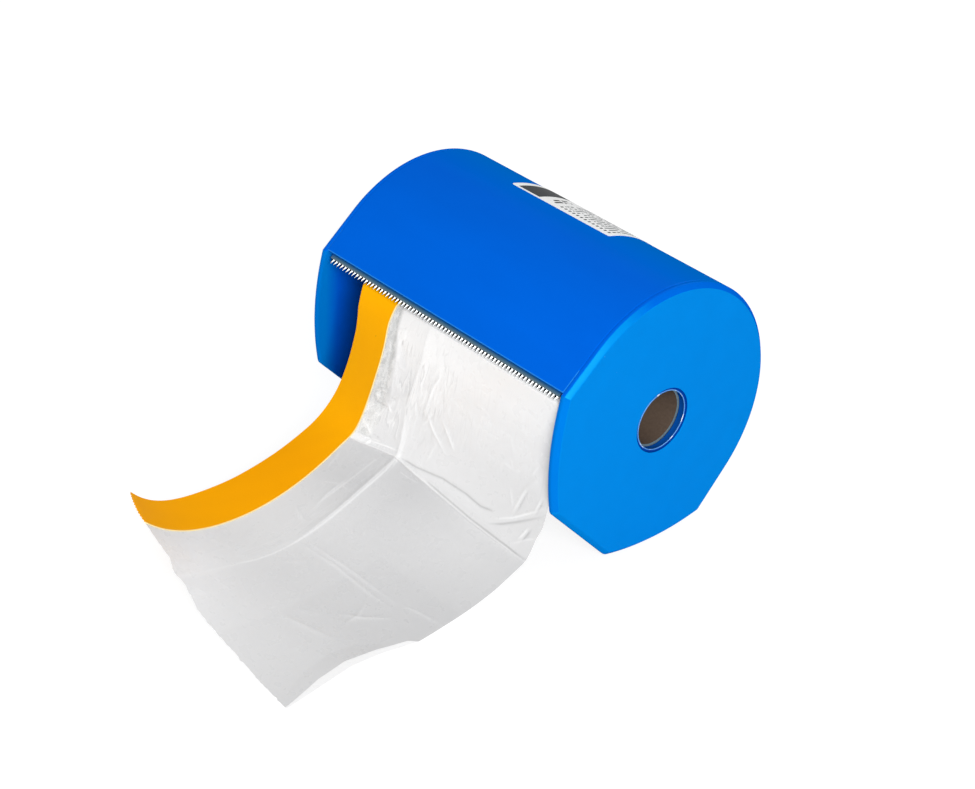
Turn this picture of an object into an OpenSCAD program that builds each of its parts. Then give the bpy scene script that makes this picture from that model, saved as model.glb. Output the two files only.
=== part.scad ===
// Masking film dispenser. A half-drum cover carries a serrated cutter under its front lip and is
// closed by two push-on end caps. A cardboard core turns in the caps and carries folded masking
// film with masking tape along one edge; a length of both is pulled out over the teeth.
// The roll axis is X, the front is -Y, and the origin is the middle of the core's bore.

/* [Housing] */
// Width over both end caps, mm
overall_width = 153; // [130:1:320]
// Radius of the round back of the caps and cover, mm
cap_radius = 60.4; // [54:0.1:80]
// How far each lip of the cover stands out past that radius, mm
lip_flare = 1.1; // [0.3:0.1:3]
// Distance from the roll axis to the two lips of the cover, along the caps' middle line, mm
lip_reach = 17.6; // [14:0.1:24]
// How far the corners of the caps stand past the lips, mm
lip_past = 1.2; // [0.3:0.1:3]
// Half the length of the flat toe of a cap, mm
toe_half = 23.4; // [16:0.1:30]
// How far the toe lies inside the radius of the round back, mm
toe_inset = 2.6; // [0:0.1:6]
// Bow of the caps' edges between a lip and the toe, mm
edge_bow = 3.1; // [1:0.05:5]
// Wall of the cover, mm
cover_wall = 2.5; // [1.6:0.1:4]
// Thickness of an end cap's plate, mm
cap_thick = 3.75; // [3:0.05:6]
// Bevel around the outer face of a cap, mm
cap_bevel = 2; // [0.5:0.1:2.6]
// Rounding of the two toe corners of a cap, mm
toe_round = 4; // [2.8:0.1:8]
// Depth of the small flat each cap stands on, mm
foot_flat = 0.15; // [0.05:0.05:0.5]
// Length of the cap's tongue inside the cover, mm
tongue_length = 8; // [4:0.5:14]
// Thickness of the tongue, mm
tongue_thick = 1.8; // [1.2:0.1:3]

/* [Hub] */
// Bore of the cardboard core, mm
core_bore = 25.4; // [19:0.1:40]
// Wall of the core, mm
core_wall = 1.3; // [0.8:0.1:4]
// Depth of the core's socket on each cap, mm
socket_depth = 2.5; // [2:0.1:6]
// Wall of the socket, mm
socket_wall = 2.2; // [1.5:0.1:4]
// How much wider than the core's bore the cap's hole is, in radius, mm
hole_margin = 0.7; // [0.3:0.1:1.2]
// Step between the cap's hole and its shallow recess, in radius, mm
recess_step = 1.2; // [0.6:0.1:3]
// Depth of that recess in the outer face, mm
recess_depth = 0.8; // [0.5:0.1:2]

/* [Cutter] */
// Pitch of the teeth, mm
tooth_pitch = 2; // [1.5:0.1:4]
// Height of the teeth, mm
tooth_height = 1.65; // [1:0.05:3]
// Plain width of the blade in front of the lip, mm
blade_out = 2.4; // [1.5:0.1:5]
// Width of the blade behind the lip, mm
blade_seat = 9; // [7:0.5:14]
// Thickness of the blade, mm
blade_thick = 0.5; // [0.4:0.1:1]
// Gap between the blade and each end cap, mm
blade_clear = 2.25; // [0.5:0.05:6]
// Number of heat stakes that hold the blade
stakes = 5; // [3:1:9]
// Radius of a stake, mm
stake_radius = 1.5; // [1:0.1:2]
// Height of a stake's head, mm
stake_head = 1; // [0.6:0.1:1.5]
// Distance from the end of the blade to its first stake, mm
stake_margin = 14; // [6:0.5:30]

/* [Roll] */
// Radius of the wound film and tape, mm
roll_radius = 38; // [24:0.5:44]
// Length of bare core at the left end, mm
bare_core = 25.4; // [2:0.1:40]
// Width of the masking tape, mm
tape_width = 22; // [12:0.5:30]
// Width of film under the tape, mm
tape_overlap = 8; // [4:0.5:11]

/* [Pulled-out web] */
// Thickness of the folded film, all layers, mm
film_thick = 0.4; // [0.3:0.05:0.6]
// Thickness of the tape, mm
tape_thick = 0.3; // [0.2:0.05:0.5]
// How far in front of the teeth the tape turns forward, mm
tape_turn = 27; // [15:0.5:40]
// Height of that turn above the counter, mm
tape_turn_height = 31.5; // [20:0.5:45]
// How far in front of the teeth the film folds at its free edge, mm
film_turn = 10.5; // [4:0.5:20]
// Height of that fold above the counter, mm
film_turn_height = 15; // [6:0.5:20]
// Distance from the teeth to the cut end, mm
web_reach = 130; // [90:1:200]
// Height of the curled end of the tape above the counter, mm
tape_end_height = 31.5; // [12:0.5:45]
// Distance from the tape to the lengthwise fold in the film, mm
ridge_out = 20; // [8:0.5:60]
// Height of that fold, mm
ridge_height = 1.2; // [0.4:0.1:3]
// Half the width of that fold, mm
ridge_half = 7; // [3:0.5:8]

/* [Label] */
// Length of the label along the cover, mm
label_length = 59; // [30:1:100]
// Length of the label around the cover, degrees
label_arc = 48; // [20:1:70]
// Front edge of the label, degrees up from the back
label_front = 78.5; // [70:0.5:100]
// Middle of the label along the roll axis, mm
label_middle = -3.5; // [-20:0.5:20]
// Thickness of the label, mm
label_thick = 0.15; // [0.1:0.05:0.3]

/* [Hidden] */
$fn = 96;
// Gap of the push fit and of the turning core
slip = 0.3;
// End play between neighbours along the roll axis
play = 0.35;
// Gap between pieces that lie against each other
seat_gap = 0.03;
// Overlap that joins the features of one piece
bite = 0.4;

// The caps' outline is symmetric about a middle line that points forward and down. It runs from
// the round back along two straight sides past the lips, then in bowed edges to a short flat toe.
lip_half = cap_radius + lip_flare;
toe_reach = cap_radius - toe_inset;

// Where the straight side leaves the round back, and how far it runs to the lip
side_angle = atan2(lip_half, lip_reach) + acos(cap_radius / norm([lip_reach, lip_half]));
lip_run = sqrt(lip_reach * lip_reach + lip_half * lip_half - cap_radius * cap_radius);
side_out = [cos(side_angle), sin(side_angle)];
side_way = [sin(side_angle), -cos(side_angle)];

// Bowed edge, between the cap's corner past the lip and the toe
cap_lip = cap_radius * side_out + (lip_run + lip_past) * side_way;
toe = [toe_reach, toe_half];
bow_chord = norm(toe - cap_lip);
bow_radius = bow_chord * bow_chord / (8 * edge_bow) + edge_bow / 2;

// Tilt of the middle line that sets the rear bowed edge level on the counter
stance = atan2(toe[0] - cap_lip[0], cap_lip[1] - toe[1]);
level = [cos(stance), sin(stance)];
bow_middle = (cap_lip + toe) / 2;
bow_center = bow_middle - (bow_radius - edge_bow) * level;
axis_height = bow_middle * level + edge_bow - foot_flat;
lip_tilt = 360 - stance - side_angle;

cover_half = overall_width / 2 - cap_thick;
core_radius = core_bore / 2;
core_outer = core_radius + core_wall;
hole_radius = core_radius + hole_margin;
socket_radius = core_outer + slip;
cover_inner = cap_radius - cover_wall;

// Stations along the roll axis
film_right = cover_half - socket_depth - play;
web_left = bare_core - film_right;
tape_right = web_left + tape_width;
film_left = tape_right - tape_overlap;

blade_half = cover_half - blade_clear;
blade_under = blade_thick + 2 * seat_gap;
teeth = floor(2 * blade_half / tooth_pitch);
stake_gap = 2 * (blade_half - stake_margin) / (stakes - 1);

// Stands the flat outline up at station x, its middle line pointing forward and down.
module stand(x) {
    translate([x, 0, 0])
        rotate([90, 0, 90])
            rotate(270 - stance)
                children();
}

// Frame of the front lip: x along the roll, y from the round back to the lip, z into the cover.
module at_lip() {
    rotate([lip_tilt, 0, 0])
        translate([0, 0, -cover_inner])
            children();
}

// A tube about the roll axis.
module tube(x0, x1, inner, outer) {
    translate([x0, 0, 0])
        rotate([0, 90, 0])
            difference() {
                cylinder(r = outer, h = x1 - x0);
                translate([0, 0, -1])
                    cylinder(r = inner, h = x1 - x0 + 2);
            }
}

// The round back and its two straight sides, which run on past the lips, moved inward by inset.
module drum(inset) {
    side = (cap_radius - inset) * side_out;
    far = side + 4 * lip_run * side_way;
    intersection() {
        circle(r = cap_radius - inset);
        translate([-2 * cap_radius, -2 * cap_radius])
            square([2 * cap_radius, 4 * cap_radius]);
    }
    polygon([[side[0], -side[1]], [far[0], -far[1]], far, side]);
}

// The caps' outline with sharp toe corners, moved inward by inset.
module sharp_outline(inset) {
    intersection() {
        drum(inset);
        translate([-2 * cap_radius, -2 * cap_radius])
            square([2 * cap_radius + toe_reach - inset, 4 * cap_radius]);
        translate(bow_center)
            circle(r = bow_radius - inset, $fn = 360);
        translate([bow_center[0], -bow_center[1]])
            circle(r = bow_radius - inset, $fn = 360);
    }
}

// The same outline with its toe corners rounded.
module cap_outline(inset) {
    arm = bow_radius - toe_round;
    px = toe_reach - toe_round;
    py = bow_center[1] + sqrt(arm * arm - pow(px - bow_center[0], 2));
    out = ([px, py] - bow_center) / arm;
    difference() {
        sharp_outline(inset);
        for (side = [-1, 1])
            scale([1, side])
                polygon([[px, py], [toe_reach + 1, py], [toe_reach + 1, toe_half + 2],
                    [px, py] + (toe_round + 1) * out]);
    }
    for (side = [-1, 1])
        translate([px, side * py])
            circle(r = toe_round - inset, $fn = 32);
}

// Section of the cover: a wall along the outline that ends at the two lips.
module cover_section() {
    difference() {
        drum(0);
        drum(cover_wall);
        translate([lip_reach, -2 * cap_radius])
            square([2 * cap_radius, 4 * cap_radius]);
    }
}

// Half-drum cover with the heat stakes that hold the blade under its front lip.
module cover_shell() {
    color("#0161d5") {
        stand(-cover_half)
            linear_extrude(2 * cover_half)
                cover_section();
        at_lip()
            for (i = [0 : stakes - 1])
                translate([(i - (stakes - 1) / 2) * stake_gap, lip_run - blade_seat / 2, 0]) {
                    translate([0, 0, -bite])
                        cylinder(r = stake_radius, h = bite + blade_under + bite, $fn = 24);
                    translate([0, 0, blade_under])
                        cylinder(r1 = 1.75 * stake_radius, r2 = 1.3 * stake_radius, h = stake_head, $fn = 24);
                }
    }
}

// End cap at the +X end: bevelled plate, tongue inside the cover, socket for the core.
module end_cap() {
    tongue_outer = cover_inner - slip;
    tongue_inner = tongue_outer - tongue_thick;
    arc = 360 - 2 * side_angle - 4;
    difference() {
        union() {
            stand(cover_half)
                hull() {
                    linear_extrude(cap_thick - cap_bevel)
                        cap_outline(0);
                    linear_extrude(cap_thick)
                        cap_outline(cap_bevel);
                }
            stand(cover_half)
                rotate(side_angle + 2)
                    rotate_extrude(angle = arc)
                        polygon([[tongue_inner, bite], [tongue_inner, -tongue_length],
                            [tongue_outer - 0.6, -tongue_length], [tongue_outer, 1 - tongue_length],
                            [tongue_outer, bite]]);
            tube(cover_half - socket_depth, cover_half + bite,
                socket_radius, socket_radius + socket_wall);
        }
        translate([cover_half - 1, 0, 0])
            rotate([0, 90, 0])
                cylinder(r = hole_radius, h = cap_thick + 2);
        translate([cover_half + cap_thick - recess_depth, 0, 0])
            rotate([0, 90, 0])
                cylinder(r = hole_radius + recess_step, h = recess_depth + 1);
        translate([cover_half - 1, -cap_radius, -axis_height - 5])
            cube([cap_thick + 2, 2 * cap_radius, 5]);
    }
}

module right_end_cap() {
    color("#008ae4")
        end_cap();
}

module left_end_cap() {
    color("#008ae4")
        mirror([1, 0, 0])
            end_cap();
}

// Serrated steel strip that lies against the inside of the front lip.
module cutter_blade() {
    root = lip_run + blade_out;
    color("#536068")
        at_lip()
            difference() {
                translate([0, 0, seat_gap])
                    linear_extrude(blade_thick)
                        polygon(concat(
                            [[-blade_half, root], [-blade_half, lip_run - blade_seat],
                                [blade_half, lip_run - blade_seat], [blade_half, root]],
                            [for (i = [teeth : -1 : 0], half = [0, 0.5]) if (half == 0 || i > 0)
                                [(i - half - teeth / 2) * tooth_pitch,
                                    root + 2 * half * tooth_height]]));
                for (i = [0 : stakes - 1])
                    translate([(i - (stakes - 1) / 2) * stake_gap, lip_run - blade_seat / 2, -1])
                        cylinder(r = stake_radius + 0.1, h = blade_thick + 2, $fn = 24);
            }
}

// Cardboard core that turns in the sockets of the caps.
module core_tube() {
    color("#8a6b4c")
        tube(play - cover_half, cover_half - play, core_radius, core_outer);
}

// Folded film wound on the core.
module film_roll() {
    color("#e8e9ea")
        tube(tape_right, film_right, core_outer, roll_radius);
}

// Masking tape wound on the left edge of the film.
module tape_roll() {
    color("#f5a803")
        tube(web_left, tape_right, core_outer, roll_radius);
}

// Centre line of the web, as [distance in front of the axis, height above the counter].
// It leaves the top of the roll, passes under the teeth, turns down and runs out on the counter.
web_drop = blade_under + tape_thick + film_thick / 2 + slip;
tip_run = lip_run + blade_out + tooth_height + 0.3;
tip = [-tip_run * cos(lip_tilt) - (cover_inner - web_drop) * sin(lip_tilt),
    axis_height + tip_run * sin(lip_tilt) - (cover_inner - web_drop) * cos(lip_tilt)];
roll_edge = roll_radius + slip + film_thick / 2;
lift_angle = atan2(tip[1] - axis_height, tip[0]) + acos(roll_edge / norm(tip - [0, axis_height]));
lift = [0, axis_height] + roll_edge * [cos(lift_angle), sin(lift_angle)];
end_x = tip[0] + web_reach;
fall = tip[1];

// Control points of the taped edge and of the free edge: two cubic arcs each.
tape_fold = [tip[0] + tape_turn, tape_turn_height];
tape_arcs = [
    [tip, tip + [0.42 * tape_turn, -0.19 * fall], tip + [0.2 * tape_turn, -0.45 * fall], tape_fold],
    [tape_fold, tape_fold + [0.48 * tape_turn, -0.35 * tape_turn_height],
        [end_x - 0.27 * web_reach, 0.17 * tape_end_height], [end_x, tape_end_height]]];
film_fold = [tip[0] + film_turn, film_turn_height];
film_arcs = [
    [tip, tip + [-0.1 * film_turn, -0.28 * fall], tip + [0.2 * film_turn, -0.65 * fall], film_fold],
    [film_fold, film_fold + [0.2 * web_reach, -0.6 * film_turn_height],
        [end_x - 0.64 * web_reach, -0.2 * film_turn_height], [end_x, 0]]];

function bezier(c, t) = pow(1 - t, 3) * c[0] + 3 * t * pow(1 - t, 2) * c[1]
    + 3 * t * t * (1 - t) * c[2] + pow(t, 3) * c[3];

// Points of one arc pair, off the counter by at least half the film.
hang_steps = 10;
lie_steps = 12;
rest = film_thick / 2 + 0.1;
function arc_pair(arcs) = concat(
    [for (i = [1 : hang_steps]) bezier(arcs[0], i / hang_steps)],
    [for (i = [1 : lie_steps]) bezier(arcs[1], i / lie_steps)]);
tape_run = concat([lift, tip], arc_pair(tape_arcs));
film_run = concat([lift, tip], arc_pair(film_arcs));
rows = len(tape_run);

// Share of the free edge's curve at station x: none under the tape, soft beside it.
function share(x) = x <= tape_right ? 0 : 1 - pow((film_right - x) / (film_right - tape_right), 2);
function web_line(x) = [for (k = [0 : rows - 1])
    let (c = tape_run[k] + share(x) * (film_run[k] - tape_run[k])) [c[0], max(c[1], rest)]];

// Lengthwise fold in the film, rising behind the teeth.
ridge_x = tape_right + ridge_out;
function ridge(x, k) = k < 2 ? 0
    : ridge_height * min(1, (k - 1) / 4) * max(0, 1 - abs(x - ridge_x) / ridge_half);

// Unit vector across the line at row k, toward the outer side of the web.
function across(line, k) =
    let (d = line[min(k + 1, rows - 1)] - line[max(k - 1, 0)]) [-d[1], d[0]] / norm(d);
function web_row(x, off) =
    let (line = web_line(x))
    [for (k = [0 : rows - 1])
        let (c = line[k] + (off + ridge(x, k)) * across(line, k)) [x, -c[0], c[1] - axis_height]];

// A closed sheet over the given stations, between two offsets from the centre line.
module sheet(stations, low, high) {
    n = len(stations);
    m = n * rows;
    points = [for (off = [low, high], x = stations) each web_row(x, off)];
    last = rows - 1;
    skin = [for (j = [0 : n - 2], k = [0 : last - 1])
        let (a = j * rows + k, b = a + rows)
        each [[m + a, m + b, m + a + 1], [m + b, m + b + 1, m + a + 1],
            [a, a + 1, b], [b, a + 1, b + 1]]];
    sides = [for (k = [0 : last - 1])
        let (a = k, b = (n - 1) * rows + k)
        each [[a, m + a, a + 1], [m + a, m + a + 1, a + 1],
            [b, b + 1, m + b], [m + b, b + 1, m + b + 1]]];
    ends = [for (j = [0 : n - 2])
        let (a = j * rows, b = a + last)
        each [[a, a + rows, m + a], [a + rows, m + a + rows, m + a],
            [b, m + b, b + rows], [b + rows, m + b, m + b + rows]]];
    polyhedron(points, concat(skin, sides, ends));
}

// Film pulled out under the tape and to the right of it.
module film_web() {
    columns = 6;
    past = ridge_x + ridge_half;
    color("#ececee")
        sheet(concat([film_left, tape_right, (tape_right + ridge_x - ridge_half) / 2],
            [ridge_x - ridge_half, ridge_x],
            [for (j = [0 : columns]) past + j * (film_right - past) / columns]),
            -film_thick / 2, film_thick / 2);
}

// Tape pulled out on top of the film's left margin.
module tape_strip() {
    under = film_thick / 2 + seat_gap;
    color("#f7ab05")
        sheet([web_left, (web_left + tape_right) / 2, tape_right], under, under + tape_thick);
}

// Paper label on the upper back of the cover.
module label() {
    color("#dfe2e2")
        rotate([90, 0, 90])
            rotate(label_front - label_arc)
                rotate_extrude(angle = label_arc)
                    translate([cap_radius + seat_gap, label_middle - label_length / 2])
                        square([label_thick, label_length]);
}

cover_shell();
left_end_cap();
right_end_cap();
cutter_blade();
core_tube();
film_roll();
tape_roll();
film_web();
tape_strip();
label();
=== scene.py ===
import math

import bmesh
import bpy
import numpy as np
from mathutils import Matrix


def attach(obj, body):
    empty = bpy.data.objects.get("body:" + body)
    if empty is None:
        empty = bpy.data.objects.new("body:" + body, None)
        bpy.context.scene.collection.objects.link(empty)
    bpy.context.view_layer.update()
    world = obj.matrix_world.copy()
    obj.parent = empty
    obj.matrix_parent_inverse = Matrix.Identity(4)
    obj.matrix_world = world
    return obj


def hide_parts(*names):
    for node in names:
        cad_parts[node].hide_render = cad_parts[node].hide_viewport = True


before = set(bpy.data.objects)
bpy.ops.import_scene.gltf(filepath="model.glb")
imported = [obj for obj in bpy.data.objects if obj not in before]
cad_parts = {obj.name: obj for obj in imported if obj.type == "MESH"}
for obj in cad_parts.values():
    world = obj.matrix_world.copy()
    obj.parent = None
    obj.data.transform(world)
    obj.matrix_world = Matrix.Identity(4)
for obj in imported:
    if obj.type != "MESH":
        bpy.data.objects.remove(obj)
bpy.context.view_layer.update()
scene = bpy.context.scene


# Camera: a long lens looking down on the right front corner.
# It stands about a metre away, so the far end cap is only a little smaller than the near one.
camera = bpy.data.cameras.new("camera")
camera.lens = 92.35
camera.sensor_width = 36
camera_stand = bpy.data.objects.new("camera", camera)
scene.collection.objects.link(camera_stand)
camera_place = (0.650, -0.6531, 0.5339)
sight_right, sight_up = (0.669, 0.7419, 0.0561), (-0.419, 0.3123, 0.8524)
sight_back = (0.615, -0.5934, 0.5202)
sight = Matrix((sight_right, sight_up, sight_back)).transposed().to_4x4()
camera_stand.matrix_world = Matrix.Translation(camera_place) @ sight
scene.camera = camera_stand
scene.view_settings.view_transform = "Standard"


# Studio: a back-lit white acrylic table, a pale tent, a soft box at the front right and two weak fills.
# Only a trace of shadow shows where the dispenser stands on the table.
def linear(colour):
    """An sRGB hex colour as linear RGBA."""
    parts = [int(colour[k : k + 2], 16) / 255 for k in (1, 3, 5)]
    return (*(c / 12.92 if c <= 0.04045 else ((c + 0.055) / 1.055) ** 2.4 for c in parts), 1)


def wire(node, inputs):
    """Sets a node's inputs, by name or number: values, hex colours, or sockets or nodes to link from."""
    for name, value in inputs.items():
        if isinstance(value, bpy.types.Node):
            value = next(socket for socket in value.outputs if socket.enabled)
        if isinstance(value, bpy.types.NodeSocket):
            node.id_data.links.new(value, node.inputs[name])
        else:
            node.inputs[name].default_value = linear(value) if isinstance(value, str) else value


def add(tree, kind, inputs=None, **settings):
    """Adds a node with its settings and wires its inputs."""
    node = tree.nodes.new(kind)
    for name, value in settings.items():
        setattr(node, name, value)
    wire(node, inputs or {})
    return node


def fresh_material(name):
    """A new material, its node tree and its shader."""
    material = bpy.data.materials.new(name)
    material.use_nodes = True
    return material, material.node_tree, material.node_tree.nodes["Principled BSDF"]


def unit_way(v):
    """A direction as a vector of length 1."""
    return v / np.linalg.norm(v)


counter_z = -60.1
table_z, reach = counter_z / 1000 - 0.0001, 6.0
table_corners = [(x * reach, y * reach, table_z) for x, y in ((-1, -1), (1, -1), (1, 1), (-1, 1))]
floor_mesh = bpy.data.meshes.new("table")
floor_mesh.from_pydata(table_corners, [], [(0, 1, 2, 3)])
table = bpy.data.objects.new("table", floor_mesh)
scene.collection.objects.link(table)
acrylic, tree, glowing = fresh_material("opal_acrylic")
wire(glowing, {"Base Color": "#8c8c8c", "Specular IOR Level": 0.0,
               "Emission Color": "#ffffff", "Emission Strength": 0.84})
# The glow is only seen; what falls on the dispenser from below is the table's plain white bounce
plain = add(tree, "ShaderNodeBsdfDiffuse", {"Color": "#d8d8d8"})
seen = add(tree, "ShaderNodeLightPath").outputs["Is Camera Ray"]
shown = add(tree, "ShaderNodeMixShader", {0: seen, 1: plain, 2: glowing})
wire(tree.nodes["Material Output"], {"Surface": shown})
floor_mesh.materials.append(acrylic)

# The tent is seen white, and its light on the dispenser is weaker and even
world = bpy.data.worlds.new("tent")
scene.world = world
world.use_nodes = True
tree = world.node_tree
tent = tree.nodes["Background"]
wire(tent, {"Color": "#ffffff", "Strength": 0.46})
bright = add(tree, "ShaderNodeBackground", {"Color": "#ffffff"})
seen = add(tree, "ShaderNodeLightPath").outputs["Is Camera Ray"]
shown = add(tree, "ShaderNodeMixShader", {0: seen, 1: tent, 2: bright})
wire(tree.nodes["World Output"], {"Surface": shown})

# Each lamp faces the dispenser; places and sizes are in metres
for name, place, size, power in (("soft_box", (1.14, -0.77, 0.70), 0.6, 20.0),
                                 ("front_fill", (-0.40, -1.53, 0.16), 1.2, 2.5),
                                 ("back_fill", (-0.25, 1.30, 0.60), 0.8, 6.0)):
    lamp = bpy.data.lights.new(name, "AREA")
    lamp.size = size
    lamp.energy = power
    stand = bpy.data.objects.new(name, lamp)
    scene.collection.objects.link(stand)
    back = unit_way(np.array(place))
    side = unit_way(np.cross((0, 0, 1), back))
    aim = Matrix((side, np.cross(back, side), back)).transposed().to_4x4()
    stand.matrix_world = Matrix.Translation(place) @ aim


# Cover: a half drum of blue plastic, moulded in one piece, open to the front and below.
# Its two straight sides end in lips whose edges are slightly rounded.
cap_radius, cover_wall, cover_half = 60.4, 2.5, 72.75
lip_reach, lip_half, lip_past, lip_bend = 17.6, 61.5, 1.2, 0.65
arc_points, turn_points, plain_half, plain_rows = 64, 6, 66, 23
toe, edge_bow = np.array((57.8, 23.4)), 3.1
side_angle = math.atan2(lip_half, lip_reach) + math.acos(cap_radius / math.hypot(lip_reach, lip_half))
side_out = np.array((math.cos(side_angle), math.sin(side_angle)))
side_way = np.array((math.sin(side_angle), -math.cos(side_angle)))
lip_run = math.sqrt(lip_reach**2 + lip_half**2 - cap_radius**2)
cap_lip = cap_radius * side_out + (lip_run + lip_past) * side_way
stance = math.atan2(toe[0] - cap_lip[0], cap_lip[1] - toe[1])


def upright(x, flat):
    """Stands points of the flat outline, whose first axis points forward and down, at station x."""
    a = 1.5 * math.pi - stance
    flat = np.asarray(flat, float)
    return np.column_stack((
        np.broadcast_to(x, len(flat)),
        flat[:, 0] * math.cos(a) - flat[:, 1] * math.sin(a),
        flat[:, 0] * math.sin(a) + flat[:, 1] * math.cos(a)))


def hoops(rows, count, first=0, looped=False, ends=False):
    """Quads between neighbouring closed rows of count points each, numbered from first. Looped rows also
    join the last row to the first one, and ends puts a face over the first and the last row."""
    faces = []
    for r in range(rows if looped else rows - 1):
        here, there = first + r * count, first + (r + 1) % rows * count
        for k in range(count):
            beside = (k + 1) % count
            faces.append((here + k, here + beside, there + beside, there + k))
    if ends:
        faces += [list(range(start, start + count)) for start in (first, first + (rows - 1) * count)]
    return faces


def piece(name, points, faces, *materials, crease=38, outward=True):
    """A smooth mesh object at the origin, with edges steeper than crease degrees left sharp."""
    mesh = bpy.data.meshes.new(name)
    mesh.from_pydata((np.asarray(points, float) / 1000).tolist(), [], [list(map(int, f)) for f in faces])
    for material in materials:
        mesh.materials.append(material)
    if outward:
        work = bmesh.new()
        work.from_mesh(mesh)
        bmesh.ops.recalc_face_normals(work, faces=work.faces)
        work.to_mesh(mesh)
        work.free()
    mesh.shade_smooth()
    mesh.set_sharp_from_angle(angle=math.radians(crease))
    made = bpy.data.objects.new(name, mesh)
    scene.collection.objects.link(made)
    return made


def cover_path(inset, inner):
    """Outer or inner edge of the cover's section, from the middle of the front lip to that of the rear."""
    r = cap_radius - cover_wall + inset if inner else cap_radius - inset
    lip, bend = lip_reach - inset, lip_bend - inset
    run = (lip - r * side_out[0]) / side_way[0]
    corner = r * side_out + run * side_way
    middle = np.array((lip, ((cap_radius - cover_wall / 2) * side_out + run * side_way)[1]))
    before, after = corner - bend * side_way, corner + np.array((0.0, bend if inner else -bend))
    turn = [(1 - t) ** 2 * before + 2 * t * (1 - t) * corner + t * t * after
            for t in np.linspace(0, 1, turn_points)]
    arc = [r * np.array((math.cos(a), math.sin(a))) for a in np.linspace(math.pi, side_angle, arc_points)]
    line = [r * side_out + t * (run - bend) * side_way for t in (0.25, 0.5, 0.75, 0.95)]
    rear = arc + line + turn + [middle]
    return np.array([(p, -q) for p, q in rear[:0:-1]] + rear)


# Rounding of the cover's two ends, as (inset, distance from the end)
end_round = [(0.75, 0.0), (0.32, 0.0), (0.1, 0.07), (0.0, 0.3), (0.0, 0.8)]
stations = [(i, d - cover_half) for i, d in end_round]
stations += [(0.0, x) for x in np.linspace(-plain_half, plain_half, plain_rows)]
stations += [(i, cover_half - d) for i, d in reversed(end_round)]
rows = []
for inset, x in stations:
    outer, inner = cover_path(inset, False), cover_path(inset, True)
    rows.append(upright(x, np.vstack((outer, inner[-2:0:-1]))))
around, edge = len(rows[0]), len(outer)
faces = hoops(len(rows), around)
for start in (0, (len(rows) - 1) * around):
    pairs = [(k, (around - k) % around) for k in range(edge)]
    for (a, b), (c, d) in zip(pairs, pairs[1:]):
        faces.append([start + k for k in dict.fromkeys((a, c, d, b))])


def moulded_plastic(name, colour, deep, shine=0.012, tint="#3f9cff"):
    """Coloured polypropylene from a lightly spark-eroded mould: an even satin gloss with a faint grain,
    a little streaking of the pigment along the roll and a few dust specks and rubbed spots."""
    material, tree, shader = fresh_material(name)
    where = add(tree, "ShaderNodeTexCoord").outputs["Object"]
    # Pigment streaks about 40 mm long and 12 mm apart
    drawn = add(tree, "ShaderNodeMapping", {"Vector": where, "Scale": (25, 80, 80)})
    streak = add(tree, "ShaderNodeTexNoise", {"Vector": drawn, "Scale": 1.0, "Detail": 3.0})
    tone = add(tree, "ShaderNodeMix", {"Factor": streak, 6: deep, 7: colour}, data_type="RGBA")
    # Specks 0.4 mm across, one in about 14 mm
    spots = add(tree, "ShaderNodeTexVoronoi", {"Vector": where, "Scale": 70.0, "Randomness": 1.0})
    speck = add(tree, "ShaderNodeMapRange", {"Value": spots, 1: 0.012, 2: 0.02, 3: 0.35, 4: 0.0})
    dusty = add(tree, "ShaderNodeMix", {"Factor": speck, 6: tone, 7: "#9fd4ff"}, data_type="RGBA")
    # Mould grain, drawn at 0.5 mm so that it shows
    grain = add(tree, "ShaderNodeTexNoise", {"Vector": where, "Scale": 2000.0, "Detail": 2.0})
    bump = add(tree, "ShaderNodeBump", {"Height": grain, "Strength": 0.06, "Distance": 0.0003})
    # Rubbed spots about 20 mm across
    rub = add(tree, "ShaderNodeTexNoise", {"Vector": where, "Scale": 45.0, "Detail": 4.0})
    gloss = add(tree, "ShaderNodeMapRange", {"Value": rub, 1: 0.3, 2: 0.7, 3: 0.30, 4: 0.42})
    wire(shader, {"Base Color": dusty, "Roughness": gloss, "Normal": bump, "IOR": 1.49, "Specular Tint": tint,
                  "Specular IOR Level": shine})
    # The sheen dies away at the far rims, where a white one would turn the blue violet; its own value stays
    # set under the link, because the export takes that
    facing = add(tree, "ShaderNodeLayerWeight", {"Blend": 0.5}).outputs["Facing"]
    sheen = add(tree, "ShaderNodeMapRange", {"Value": facing, 1: 0.3, 2: 0.6, 3: shine, 4: 0.0})
    wire(shader, {"Specular IOR Level": sheen})
    return material


def mix_in(material, colour, share):
    """Mixes a colour over a material's own, by a share from its tree."""
    tree = material.node_tree
    shader = tree.nodes["Principled BSDF"]
    before = shader.inputs["Base Color"].links[0].from_socket
    mixed = add(tree, "ShaderNodeMix", {"Factor": share, 6: before, 7: colour}, data_type="RGBA")
    wire(shader, {"Base Color": mixed})


def shade_toward(material, colour, start, stop):
    """Mixes a colour into a material between two depths along Y, in metres; returns the material's depth."""
    tree = material.node_tree
    where = add(tree, "ShaderNodeTexCoord").outputs["Object"]
    depth = add(tree, "ShaderNodeSeparateXYZ", {0: where}).outputs["Y"]
    mix_in(material, colour, add(tree, "ShaderNodeMapRange", {"Value": depth, 1: start, 2: stop}))
    return depth


cover_blue = moulded_plastic("moulded_polypropylene_cover", "#0063db", "#005ed2")
# Paler, glossier blue for rounded edges that catch the light: a painted highlight
edge_highlight_blue = moulded_plastic("highlit_polypropylene_edges", "#2384dc", "#1b7ad2", 0.3, "#8fd0ff")
# Painted reflection: toward the back the cover is painted a paler teal blue, where the pale tent shows in it
# at grazing angles
shade_toward(cover_blue, "#0072d2", -0.005, 0.035)
cover = piece("cover", np.vstack(rows), faces, cover_blue, edge_highlight_blue)
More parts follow.
